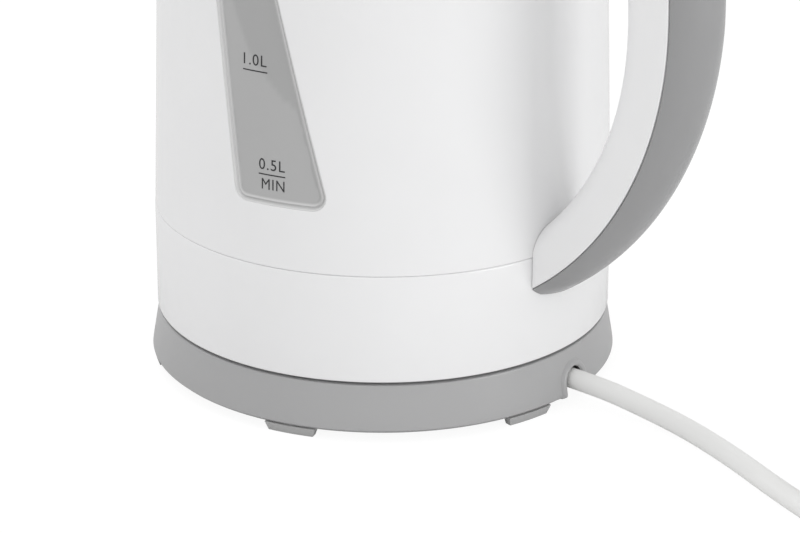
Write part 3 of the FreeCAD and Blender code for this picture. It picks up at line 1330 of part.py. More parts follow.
def cover_sweep(name, path, half, inset, lift):
    """A crowned section swept along the handle's back, lower at the nose than from the bend up."""
    nose = crown_section(f"{name}_nose", half, size("nose_crown") - inset, lift)
    seat_nose(nose)
    bend = crown_section(f"{name}_bend", half, size("cover_crown") - inset, lift)
    stand(bend, at.body + size("handle_reach"), at.back_z, 0)
    head = crown_section(f"{name}_head", half, size("cover_crown") - inset, lift)
    stand(head, at.front, at.head_top, -90)
    sweep = doc.addObject("Part::Sweep", name)
    sweep.Sections = [nose, bend, head]
    sweep.Spine = (path, ["Edge1", "Edge2", "Edge3", "Edge4"])
    sweep.Solid = True
    sweep.Frenet = False
    return sweep


def stand(section, x, z, turn):
    """Stands a section in the XZ plane's side view at a place of the path, turned about Y."""
    section.Placement = FreeCAD.Placement(Vector(x.number, 0, z.number),
                                          FreeCAD.Rotation(Vector(0, 1, 0), turn))
    section.setExpression("Placement.Base.x", x.text)
    section.setExpression("Placement.Base.z", z.text)


def seat_nose(section):
    """Stands a section square to the path at its lower end."""
    x = at.tuck
    z = arc_height(size("back_radius"), at.back_x, at.back_z, x)
    run, drop = x - at.back_x, at.back_z - z
    stand(section, x, z, math.degrees(math.atan2(drop.number, run.number)))
    section.setExpression("Placement.Rotation.Angle", f"atan({(drop / run).text})")


def make_cover_and_switches():
    """The grey cover over the channel, the lid button in its top and the rocker in its shoulder."""
    path = cover_path()
    half = size("handle_width") / 2 - size("cover_inset")
    wall = size("cover_wall")
    outer = cover_sweep("cover_outer", path, half, Dim.of(0.0), size("cover_lift"))
    inner = cover_sweep("cover_inner", path, half - wall, wall, 0.0)
    pivot_x, pivot_z = rocker_pivot()
    gap = size("control_gap")
    start = at.button_start
    end = start + size("button_length")
    far = at.body + size("handle_reach") + size("cover_crown") + SPARE
    crown_top = at.head_top + size("cover_crown") + SPARE
    rocker_hole = shared("rocker_hole", axle("rocker_hole_round", size("rocker_radius") + gap,
                                             size("handle_width"), pivot_x, pivot_z),
                         block("rocker_hole_width", at.body, far, size("rocker_width") + gap * 2,
                               at.back_z, crown_top))
    button_hole = block("button_hole", start - gap, end + gap, size("button_width") + gap * 2,
                        at.head_top - SPARE, crown_top)
    flat = nose_height() + size("chin_cut")
    chin = block("chin_flat", at.tuck - SPARE, far, size("handle_width") + SPARE, at.skirt_low, flat)
    closed = cut("cover_void", inner, block("chin_closed", at.tuck - size("handle_wall"), far,
                                            size("handle_width"), at.skirt_low, flat + size("chin_wall")))
    cover = cut("cover_hollow", outer, joined("cover_cuts", closed, rocker_hole, button_hole, chin))
    node(cut("handle_cover", cover, body_tool()), "handle_cover")

    plate = cut("button_plate", shared("button_skin", outer, block(
        "button_key", start, end, size("button_width"), at.head_top, crown_top)), inner)
    stem = block("button_stem", at.stem_start, at.stem_start + size("stem_length"), size("stem_width"),
                 at.head_top - size("stem_drop"), at.head_top + size("cover_crown") - SPARE)
    node(joined("lid_button", plate, stem), "lid_button")

    disc = shared("rocker_disc", axle("rocker_round", size("rocker_radius"), size("rocker_width"),
                                      pivot_x, pivot_z), outer)
    hub = axle("rocker_hub_form", size("rocker_hub"), size("hub_width"), pivot_x, pivot_z)
    trunnion = axle("rocker_trunnion", size("trunnion_radius"),
                    size("handle_width") - size("trunnion_inset") * 2, pivot_x, pivot_z)
    lens_reach = size("shoulder_radius") + size("cover_crown") - size("lens_depth")
    lens_place = back_point(lens_reach, at.shoulder_x, at.shoulder_z,
                            size("rocker_place") - size("lens_turn"))
    lens_hole = axle("lens_hole", size("lens_radius"), size("lens_width"), *lens_place)
    lens = shared("lens_form", axle("lens_rod", size("lens_radius") - size("pin_gap"),
                                    size("lens_width") - size("pin_gap") * 2, *lens_place), disc)
    node(cut("rocker_form", joined("rocker_joined", disc, hub, trunnion), lens_hole), "power_rocker")
    node(lens, "rocker_lens")


def make_latch():
    """The bolt that the lid button draws back from the lid's tooth."""
    low = at.head_top + size("boss_seat")
    reach = size("knuckle_radius") + size("tooth_reach") + size("seat_gap")
    rise = low - at.hinge_z
    front = at.hinge_x + root(reach * reach - rise * rise)
    stem = at.stem_start
    stem_end = stem + size("stem_length")
    gap = size("seat_gap")
    bolt = block("bolt_form", front, stem_end + size("bolt_tail"), size("bolt_width"), low,
                 low + size("bolt_thick"))
    window = block("bolt_window", stem - size("button_travel") - gap, stem_end + gap,
                   size("stem_width") + gap * 2, low - SPARE, low + size("bolt_thick") + SPARE)
    node(cut("latch_bolt", bolt, window), "latch_bolt")


def trough(name, x_low, x_high, half, z_low, z_high, radius):
    """A bar along X whose two lower corners are rounded."""
    return lengthwise(name, x_low, x_high, [
        (-half, z_high), (-half, z_low + radius), (radius - half, z_low, radius, 1),
        (half - radius, z_low), (half, z_low + radius, radius, 1), (half, z_high)])


def make_switch_parts():
    """The steam switch inside the handle's head: its carrier, disc and trip lever.

    Its height is a share of the room between the armpit's floor and the pressed button's stem.
    """
    half = size("handle_width") / 2 - size("handle_wall") - size("control_gap") / 2
    rounding = size("grip_round") - size("handle_wall")
    armpit = armpit_centre(size("handle_wall"))
    low = armpit[1] + armpit[2] + size("boss_seat")
    stem_low = at.head_top - size("stem_drop") - size("button_travel") - size("seat_gap")
    rise = (stem_low - low) * size("switch_share")
    wall = rise * size("switch_wall")
    cheek = size("cheek_width")
    left = at.shell_top_radius + size("handle_wall") + size("seat_gap")
    axis_x = left + size("lever_reach")
    axis_z = low + rise * size("lever_place")
    rod_radius = rise * size("lever_rod")
    right = axis_x + size("tray_tail")
    rim = axis_z + rod_radius * 3
    tray = trough("tray_outside", left, right, half, low, rim, rounding)
    hollow = trough("tray_inside", left + wall, right + SPARE, half - cheek, low + wall, rim + SPARE,
                    rounding - cheek)
    back = block("tray_back", left, left + wall, half * 2, rim - wall, low + rise)
    bore = axle("lever_bore", rod_radius + size("pin_gap"), half * 2 + SPARE, axis_x, axis_z)
    disc_z = low + rise * size("disc_place")
    vent = moved(post("steam_bore", rise * size("vent_share"), 0.0, wall + SPARE * 2), left - SPARE, 0.0,
                 disc_z, (0, 1, 0), 90)
    form = joined("tray_form", cut("tray_open", tray, hollow), back)
    node(cut("switch_carrier", form, joined("tray_cuts", bore, vent)), "switch_carrier")
    disc = moved(post("steam_disc_form", rise * size("disc_share"), 0.0, size("steam_disc_thick")),
                 left + wall + size("prong_gap"), 0.0, disc_z, (0, 1, 0), 90)
    node(disc, "steam_disc")
    rod = axle("lever_rod_form", rod_radius, half * 2 - size("control_gap") * 2, axis_x, axis_z)
    hub = axle("lever_hub", rod_radius * 2, half, axis_x, axis_z)
    arm_half = size("arm_thick") / 2
    arm = block("lever_arm", axis_x - arm_half, axis_x + arm_half, half, axis_z, low + rise)
    node(joined("trip_lever", rod, hub, arm), "trip_lever")


def check_and_write():
    """Recomputes the document, checks every object and writes each piece."""
    doc.recompute()
    faults = [obj.Name for obj in doc.Objects if {"Invalid", "Error"} & set(obj.State)]
    for obj in nodes:
        if obj.Shape.isNull() or not obj.Shape.isValid() or not obj.Shape.Solids:
            faults.append(f"{obj.Label}: bad shape")
    if faults:
        raise RuntimeError(f"failed objects: {faults}")
    os.makedirs("parts", exist_ok=True)
    for obj in nodes:
        obj.Shape.exportStep(f"parts/{obj.Label}.step")
    print(len(nodes), "nodes written")


make_base_cover()
make_base_plate()
make_feet()
make_base_screws()
make_tower()
make_guide_ring()
make_cord_clamp()
make_cord()
make_plug()
make_skirt()
make_shell()
make_window()
make_collar()
make_hinge_pin()
make_lid()
make_filter()
make_heater()
make_control()
make_under()
make_handle_shell()
make_cover_and_switches()
make_latch()
make_switch_parts()
check_and_write()
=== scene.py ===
"""Studio view of a cordless electric jug kettle on its power base.

Metres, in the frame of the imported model: Z is up from the table, X points along the handle, and the
water window faces about -Y. Every new piece is a surface worked out with numpy on a grid.
"""

import logging
import math
from dataclasses import dataclass, field
from enum import Enum

import bpy
import bmesh
import numpy as np
from bpy.types import Material, Mesh, Node, NodeSocket, Object
from mathutils import Matrix, Vector


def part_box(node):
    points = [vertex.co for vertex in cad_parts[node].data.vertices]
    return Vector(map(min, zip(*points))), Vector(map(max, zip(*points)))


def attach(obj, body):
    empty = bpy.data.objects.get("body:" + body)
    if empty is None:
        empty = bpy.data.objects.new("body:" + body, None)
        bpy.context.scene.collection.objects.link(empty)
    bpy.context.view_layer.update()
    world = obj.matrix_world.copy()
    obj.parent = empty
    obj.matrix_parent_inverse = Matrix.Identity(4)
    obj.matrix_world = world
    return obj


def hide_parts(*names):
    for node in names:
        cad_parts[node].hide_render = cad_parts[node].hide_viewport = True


log = logging.getLogger("kettle")
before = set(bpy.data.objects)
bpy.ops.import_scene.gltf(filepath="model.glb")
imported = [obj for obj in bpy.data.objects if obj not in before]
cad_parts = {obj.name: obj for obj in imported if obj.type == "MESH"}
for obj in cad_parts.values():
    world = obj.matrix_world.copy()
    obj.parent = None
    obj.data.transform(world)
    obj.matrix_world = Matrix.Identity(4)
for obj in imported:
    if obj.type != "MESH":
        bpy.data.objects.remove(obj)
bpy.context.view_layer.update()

MM = 0.001
TURN = 2 * math.pi
X, Y, Z = 0, 1, 2
PLASTIC_IOR = 1.5
WHITE_LIGHT = (1.0, 1.0, 1.0, 1.0)
MERGE = 0.004 * MM
Array = np.ndarray
Pair = tuple[float, float]
Triple = tuple[float, float, float]


# Materials

def fill(target: bpy.types.bpy_struct, **settings: object) -> bpy.types.bpy_struct:
    """Sets several settings of something of Blender's, and hands it back."""
    for key, value in settings.items():
        setattr(target, key, value)
    return target


class Shader:
    """A material or world under construction: its node tree and the shorthand to fill it."""

    def __init__(self, name: str, kind: str = "materials") -> None:
        """Starts an empty one."""
        self.owner = fill(getattr(bpy.data, kind).new(name), use_nodes=True)
        self.tree = self.owner.node_tree
        self.tree.nodes.clear()

    def node(self, kind: str, inputs: dict | None = None, **settings: str) -> Node:
        """Adds any node.

        Args:
            kind: the node's type, without its ShaderNode.
            inputs: values or sockets by the name or number of the input.
            settings: its settings, set before its sockets.

        Returns:
            The node.
        """
        made = fill(self.tree.nodes.new("ShaderNode" + kind), **settings)
        for key, value in (inputs or {}).items():
            if isinstance(value, NodeSocket):
                self.tree.links.new(value, made.inputs[key])
            else:
                made.inputs[key].default_value = value
        return made

    def math(self, operation: str, *operands: NodeSocket | float) -> NodeSocket:
        """A Math node's result."""
        return self.node("Math", dict(enumerate(operands)), operation=operation).outputs[0]

    def place(self) -> NodeSocket:
        """The object's own coordinates."""
        return self.node("TexCoord").outputs["Object"]

    def noise(self, grain: float, detail: float = 2.0, vector: NodeSocket | None = None) -> NodeSocket:
        """A noise from 0 to 1.

        Args:
            grain: the size of its features, in metres.
            detail: its octaves.
            vector: coordinates, or None for the object's own.

        Returns:
            The noise.
        """
        inputs = {"Vector": vector or self.place(), "Scale": 1.0 / grain, "Detail": detail}
        return self.node("TexNoise", inputs).outputs[0]

    def varied(self, noise: NodeSocket, middle: float, spread: float) -> NodeSocket:
        """A value that varies about its middle with a noise, by the spread in all."""
        return self.math("ADD", self.math("MULTIPLY", noise, spread), middle - spread / 2)

    def blend(self, factor: NodeSocket, first: Triple, second: Triple) -> NodeSocket:
        """A colour between two, by a factor."""
        inputs = {0: factor, 6: (*first, 1.0), 7: (*second, 1.0)}
        return self.node("Mix", inputs, data_type="RGBA").outputs[2]

    def bump(self, height: NodeSocket, depth: float) -> NodeSocket:
        """A bump's normal, from a height of 0 to 1 and its size in metres."""
        return self.node("Bump", {"Height": height, "Distance": depth, "Strength": 1.0}).outputs["Normal"]

    def finish(self, surface: dict) -> Material:
        """Closes the material with a Principled shader, given its inputs."""
        return self.close(self.node("BsdfPrincipled", surface))

    def close(self, last: Node, kind: str = "Material") -> Material:
        """Leads the last node to the output of a material or world."""
        self.node("Output" + kind, {"Surface": last.outputs[0]})
        return self.owner


def scaled(colour: Triple, factor: float) -> Triple:
    """A colour made darker or lighter."""
    return tuple(min(channel * factor, 1.0) for channel in colour)


@dataclass(frozen=True)
class Plastic:
    """A moulded plastic: faint clouding, a fine moulded grain and its own gloss."""

    name: str
    colour: Triple
    roughness: float
    grain: float = 0.4 * MM
    grain_depth: float = 0.001 * MM
    clouding: float = 0.02
    cloud_size: float = 35 * MM
    patch_size: float = 9 * MM
    gloss_spread: float = 0.05

    def material(self) -> Material:
        """Builds the material."""
        shader = Shader(self.name)
        return shader.finish({
            "Base Color": shader.blend(
                shader.noise(self.cloud_size, 3.0), scaled(self.colour, 1.0 - self.clouding),
                scaled(self.colour, 1.0 + self.clouding)),
            "Roughness": shader.varied(shader.noise(self.patch_size), self.roughness, self.gloss_spread),
            "Normal": shader.bump(shader.noise(self.grain), self.grain_depth),
            "IOR": PLASTIC_IOR,
        })


@dataclass(frozen=True)
class Metal:
    """A metal with a satin grain that follows rings about the Z axis or runs with the surface."""

    name: str
    colour: Triple
    roughness: float
    ringed: bool = False
    streak: float = 0.35 * MM
    depth: float = 0.006 * MM
    cloud_size: float = 12 * MM
    cloud_shade: float = 0.93
    gloss_spread: float = 0.12

    def material(self) -> Material:
        """Builds the material."""
        shader = Shader(self.name)
        vector = None
        if self.ringed:
            x, y, _ = shader.node("SeparateXYZ", {0: shader.place()}).outputs
            square = shader.math("ADD", shader.math("MULTIPLY", x, x), shader.math("MULTIPLY", y, y))
            vector = shader.node("CombineXYZ", {0: shader.math("SQRT", square)}).outputs[0]
        fine = shader.noise(self.streak, 3.0, vector)
        return shader.finish({
            "Base Color": shader.blend(shader.noise(self.cloud_size, 3.0),
                                       scaled(self.colour, self.cloud_shade), self.colour),
            "Metallic": 1.0,
            "Roughness": shader.varied(fine, self.roughness, self.gloss_spread),
            "Normal": shader.bump(fine, self.depth),
        })


@dataclass(frozen=True)
class Smoked:
    """A clear tinted plastic that lets a little of the inside through; its grey is the value on each point,
    which holds the smoked grey and the painted shade and highlights of the window.
    """

    name: str
    alpha: float
    roughness: float = 0.08
    cloud_size: float = 40 * MM
    ripple_size: float = 14 * MM
    ripple_depth: float = 0.01 * MM
    spread: float = 0.04

    def material(self) -> Material:
        """Builds the material."""
        shader = Shader(self.name)
        ripple = shader.noise(self.ripple_size, 1.0)
        cloud = shader.varied(shader.noise(self.cloud_size), 1.0, self.spread)
        # The value on each point: the smoked grey, with the border's painted highlights and painted shade
        # and the far wall's painted shade on the pane.
        tint_and_painted_light = shader.node("Attribute", attribute_name="tint_and_painted_light").outputs["Fac"]
        return shader.finish({
            "Base Color": shader.blend(shader.math("MULTIPLY", tint_and_painted_light, cloud), (0.0, 0.0, 0.0),
                                       (1.0, 1.0, 1.0)),
            "Roughness": shader.varied(ripple, self.roughness, self.spread),
            "Alpha": self.alpha,
            "Normal": shader.bump(ripple, self.ripple_depth),
            "IOR": PLASTIC_IOR,
        })


class Finish(Enum):
    """The finishes of the kettle's pieces."""

    WHITE = Plastic("white_gloss_plastic", (0.86, 0.86, 0.865), 0.16)
    HANDLE_WHITE = Plastic("handle_white_plastic", (0.90, 0.90, 0.903), 0.30)
    GREY = Plastic("grey_satin_plastic", (0.315, 0.315, 0.318), 0.25)
    BASE_GREY = Plastic("base_grey_plastic", (0.405, 0.405, 0.408), 0.30)
    FOOT = Plastic("foot_grey_plastic", (0.43, 0.43, 0.43), 0.40)
    DARK = Plastic("dark_nylon", (0.035, 0.035, 0.038), 0.45)
    INSIDE = Plastic("inner_white_plastic", (0.80, 0.80, 0.79), 0.35)
    SLEEVE = Plastic("cord_sleeve", (0.93, 0.93, 0.93), 0.34, grain=0.8 * MM, grain_depth=0.006 * MM)
    SILICONE = Plastic("seal_silicone", (0.55, 0.50, 0.46), 0.55)
    MESH = Plastic("filter_gauze", (0.70, 0.70, 0.66), 0.50)
    PRINT = Plastic("water_mark_print", (0.02, 0.02, 0.022), 0.55)
    WINDOW = Smoked("smoked_clear_plastic", 0.95)
    LENS = Plastic("red_lens", (0.55, 0.04, 0.02), 0.12)
    STEEL = Metal("plate_steel", (0.62, 0.61, 0.60), 0.30, ringed=True)
    SCREW = Metal("screw_steel", (0.52, 0.52, 0.53), 0.32)
    BRASS = Metal("contact_brass", (0.70, 0.55, 0.28), 0.28)
    NICKEL = Metal("nickel_plating", (0.68, 0.67, 0.64), 0.18)

    def material(self) -> Material:
        """The finish's material, built once."""
        return bpy.data.materials.get(self.value.name) or self.value.material()


# Surfaces

@dataclass
class Surface:
    """Points and faces of one piece, gathered grid by grid."""

    points: list[Array] = field(default_factory=list)
    tints_and_painted_light: list[Array] = field(default_factory=list)
    faces: list[tuple[int, ...]] = field(default_factory=list)
    count: int = 0

    def grid(self, grid: Array, wrap_rows: bool = False, wrap_columns: bool = False,
             keep: Array | None = None, tint_and_painted_light: Array | None = None) -> "Surface":
        """Adds a grid of points with a quad in each cell.

        Args:
            grid: points, as rows by columns by 3.
            wrap_rows: joins the last row to the first.
            wrap_columns: joins the last column to the first.
            keep: which cells get a face, as rows by columns of cells, or None for all.
            tint_and_painted_light: a value for each point, which the material reads, or None.

        Returns:
            The surface.
        """
        rows, columns = grid.shape[:2]
        index = np.arange(rows * columns).reshape(rows, columns) + self.count
        if wrap_rows:
            index = np.concatenate([index, index[:1]])
        if wrap_columns:
            index = np.concatenate([index, index[:, :1]], axis=1)
        quads = joined(index[:-1, :-1], index[:-1, 1:], index[1:, 1:], index[1:, :-1])
        if keep is not None:
            quads = quads[keep]
        self.points.append(grid.reshape(-1, 3))
        if tint_and_painted_light is not None:
            self.tints_and_painted_light.append(np.broadcast_to(tint_and_painted_light, grid.shape[:2]).ravel())
        self.faces.extend(map(tuple, quads.reshape(-1, 4).tolist()))
        self.count += rows * columns
        return self

    def cap(self, loop: Array) -> "Surface":
        """Closes a loop of points (count by 3) with one face."""
        self.faces.append(tuple(range(self.count, self.count + len(loop))))
        self.points.append(loop)
        self.count += len(loop)
        return self

    def mesh(self, name: str, radial: bool = False) -> Mesh:
        """Makes the mesh: doubles merged, faces turned outwards.

        Args:
            name: the mesh's name.
            radial: for an open patch, takes away from the Z axis as outwards.

        Returns:
            The mesh.
        """
        mesh = bpy.data.meshes.new(name)
        mesh.from_pydata(np.concatenate(self.points).tolist(), [], self.faces)
        if self.tints_and_painted_light:
            tint_and_painted_light = mesh.attributes.new("tint_and_painted_light", "FLOAT", "POINT")
            tint_and_painted_light.data.foreach_set("value", np.concatenate(self.tints_and_painted_light).astype(np.float32))
        shape = bmesh.new()
        shape.from_mesh(mesh)
        bmesh.ops.remove_doubles(shape, verts=shape.verts, dist=MERGE)
        bmesh.ops.recalc_face_normals(shape, faces=shape.faces)
        if radial:
            away = sum(face.normal.xy.dot(face.calc_center_median().xy) for face in shape.faces)
            if away < 0.0:
                bmesh.ops.reverse_faces(shape, faces=shape.faces)
        shape.to_mesh(mesh)
        shape.free()
        return mesh


def joined(*parts: Array | float) -> Array:
    """Points from arrays of their coordinates, which are broadcast together."""
    return np.stack(np.broadcast_arrays(*parts), axis=-1)


def polar(radius: Array, azimuth: Array, height: Array) -> Array:
    """Points from cylindrical coordinates: x = r cos a, y = r sin a, z = height."""
    return joined(radius * np.cos(azimuth), radius * np.sin(azimuth), height)


def between(first: Array, second: Array, share: Array) -> Array:
    """The straight blend of two sets of points: the first at share 0, the second at 1."""
    return first * (1.0 - share) + second * share


def rounded(corners: list[tuple[float, ...]], steps: int = 4) -> Array:
    """A closed outline whose corners are rounded by arcs.

    At each corner with a radius, the arc is tangent to both sides: its ends lie radius / tan(half the
    corner's angle) from the corner, and points between them follow the circle.

    Args:
        corners: (x, y) or (x, y, radius), in order.
        steps: points on each arc, less one.

    Returns:
        The outline, as count by 2.
    """
    made = []
    places = [np.array(corner[:2], float) for corner in corners]
    for index, corner in enumerate(corners):
        here = places[index]
        radius = corner[2] if len(corner) > 2 else 0.0
        if radius <= 0.0:
            made.append(here[None])
            continue
        back = places[index - 1] - here
        ahead = places[(index + 1) % len(places)] - here
        back, ahead = back / np.linalg.norm(back), ahead / np.linalg.norm(ahead)
        half = math.acos(np.clip(back @ ahead, -1.0, 1.0)) / 2
        middle = (back + ahead) / np.linalg.norm(back + ahead)
        centre = here + middle * radius / math.sin(half)
        start = here + back * radius / math.tan(half) - centre
        end = here + ahead * radius / math.tan(half) - centre
        sweep = math.pi - 2 * half
        turn = np.linspace(0.0, 1.0, steps + 1)[:, None] * sweep
        made.append(centre + (np.sin(sweep - turn) * start + np.sin(turn) * end) / math.sin(sweep))
    return np.concatenate(made)


def turned(profile: Array, name: str, segments: int) -> Mesh:
    """A closed outline of (radius, height) carried round the Z axis.

    Args:
        profile: the outline, as count by 2.
        name: the mesh's name.
        segments: steps round the axis.

    Returns:
        The mesh.
    """
    azimuth = np.linspace(0.0, TURN, segments, endpoint=False)
    grid = polar(profile[:, :1], azimuth[None], profile[:, 1:])
    return Surface().grid(grid, wrap_rows=True, wrap_columns=True).mesh(name)


def smooth_step(value: Array) -> Array:
    """3 v^2 - 2 v^3 between 0 and 1."""
    value = np.clip(value, 0.0, 1.0)
    return value * value * (3.0 - 2.0 * value)


def soft_maximum(first: Array, second: Array, width: float) -> Array:
    """The larger of two, rounded within a width: max(a, b) + max(w - |a - b|, 0)^2 / (4 w)."""
    near = np.maximum(width - np.abs(first - second), 0.0)
    return np.maximum(first, second) + near ** 2 / (4 * width)


def resampled(grid: Array, places: Array) -> Array:
    """Rows of a dense grid read at fractional row places, one set of places to each column.

    Each new point is the straight blend of the two rows on either side of its place.

    Args:
        grid: points, as rows by columns by 3.
        places: row places, as new rows by columns.

    Returns:
        Points, as new rows by columns by 3.
    """
    below = np.clip(np.floor(places).astype(int), 0, len(grid) - 2)
    column = np.arange(grid.shape[1])[None]
    return between(grid[below, column], grid[below + 1, column], (places - below)[..., None])


def first_place(value: Array) -> Array:
    """For each column, the fractional row at which a value first rises through 0."""
    row = np.argmax(value >= 0.0, axis=0)
    column = np.arange(value.shape[1])
    before = value[np.maximum(row - 1, 0), column]
    after = value[row, column]
    step = np.where(row > 0, before / np.where(before == after, 1.0, before - after), 0.0)
    return np.maximum(row - 1, 0) + np.clip(step, 0.0, 1.0)


def opened(grid: Array, columns: slice, *runs: slice) -> Array:
    """Which cells of a grid keep their face: all but some columns' within some runs of rows."""
    keep = np.ones((grid.shape[0] - 1, grid.shape[1] - 1), bool)
    for run in runs:
        keep[run, columns] = False
    return keep


# Pieces

def linked(name: str, data: bpy.types.ID) -> Object:
    """A new object in the scene."""
    made = bpy.data.objects.new(name, data)
    bpy.context.scene.collection.objects.link(made)
    return made


def add_piece(name: str, mesh: Mesh, finish: Finish, body: str,
              stands_for: tuple[str, ...] = (), wall: float = 0.0, bevel: float = 0.0,
              angle: float = 35.0) -> None:
    """Adds one finished piece to the scene and reports it.

    Args:
        name: the piece's name.
        mesh: its mesh, in place.
        finish: its finish.
        body: the body that it rides on.
        stands_for: the CAD nodes that it replaces.
        wall: thickness given to an open surface, inwards.
        bevel: width of the rounding on edges sharper than angle.
        angle: the angle in degrees past which an edge counts as sharp.
    """
    piece = linked(name, mesh)
    mesh.shade_smooth()
    mesh.materials.append(finish.material())
    if wall:
        fill(piece.modifiers.new("wall", "SOLIDIFY"), thickness=wall, offset=-1.0)
    if bevel:
        fill(piece.modifiers.new("rounding", "BEVEL"), width=bevel, segments=2, limit_method="ANGLE",
             angle_limit=math.radians(angle), harden_normals=True, use_clamp_overlap=True)
    else:
        mesh.set_sharp_from_angle(angle=math.radians(angle))
    if stands_for:
        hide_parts(*stands_for)
    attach(piece, body)
    log.info("%s rides on %s", name, body)


def low(node: str, axis: int) -> float:
    """Lowest coordinate of a CAD node along an axis."""
    return float(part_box(node)[0][axis])


def high(node: str, axis: int) -> float:
    """Highest coordinate of a CAD node along an axis."""
    return float(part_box(node)[1][axis])


@dataclass(frozen=True)
class JugForm:
    """The jug's outside: a slight taper with a pouring spout at -X."""

    skirt_low: float = low("jug_skirt", Z)
    skirt_top: float = high("jug_skirt", Z)
    skirt_radius: float = high("jug_skirt", Y)
    seam: float = high("jug_skirt", Z) + 0.45 * MM
    low_radius: float = high("jug_shell", Y)
    top: float = high("jug_shell", Z)
    top_radius: float = high("rim_collar", Y)
    spout_tip: float = -low("jug_shell", X)
    spout_drop: float = 52 * MM
    spout_half: float = 25 * MM
    spout_root: float = 38 * MM
    spout_sink: float = 2 * MM
    spout_turn: float = math.radians(60)
    nose: float = 5.5 * MM
    fillet: float = 5 * MM

    def radius(self, height: Array) -> Array:
        """Radius of the taper at a height, along a straight line from the seam to the top."""
        share = np.clip((height - self.seam) / (self.top - self.seam), 0.0, 1.0)
        return self.low_radius + (self.top_radius - self.low_radius) * share

    def growth(self, height: Array) -> Array:
        """How far the spout has grown at a height: from 0 at its root to 1 at the top."""
        return np.clip((height - self.top + self.spout_drop) / self.spout_drop, 0.0, 1.0)

    def spout(self, azimuth: Array, height: Array) -> Array:
        """Radius of the spout's wedge towards an azimuth.

        The wedge in plan is a nose circle with a flank tangent to it. Towards an angle t from -X the
        circle gives c cos t + sqrt(n^2 - c^2 sin^2 t) and the flank gives
        (c cos b + n) / cos(t - b), where b is the direction square to the flank.

        Args:
            azimuth: directions.
            height: heights.

        Returns:
            The radius, 0 where the wedge doesn't reach.
        """
        grown = self.growth(height)
        nose = self.nose + (1.0 - grown) * self.spout_sink
        centre = self.radius(height) + (self.spout_tip - self.top_radius) * grown - nose
        square = math.atan2(self.spout_tip - self.nose - self.spout_root, self.spout_half - self.nose)
        turn = np.abs(np.angle(np.exp(1j * (azimuth - math.pi))))
        circle = centre * np.cos(turn) + np.sqrt(np.maximum(nose ** 2 - (centre * np.sin(turn)) ** 2, 0.0))
        flank = (centre * math.cos(square) + nose) / np.maximum(np.cos(turn - square), 0.2)
        tangent = np.arctan2(nose * math.sin(square), centre + nose * math.cos(square))
        wedge = np.where(turn < tangent, circle, flank)
        return np.where(turn > self.spout_turn, 0.0, wedge)

    def point(self, azimuth: Array, height: Array) -> Array:
        """Points on the outside: the larger of taper and spout, rounded where they meet."""
        wedge = self.spout(azimuth, height) - (1.0 - self.growth(height)) * self.spout_sink
        return polar(soft_maximum(self.radius(height), wedge, self.fillet), azimuth, height)


FORM = JugForm()


# Jug

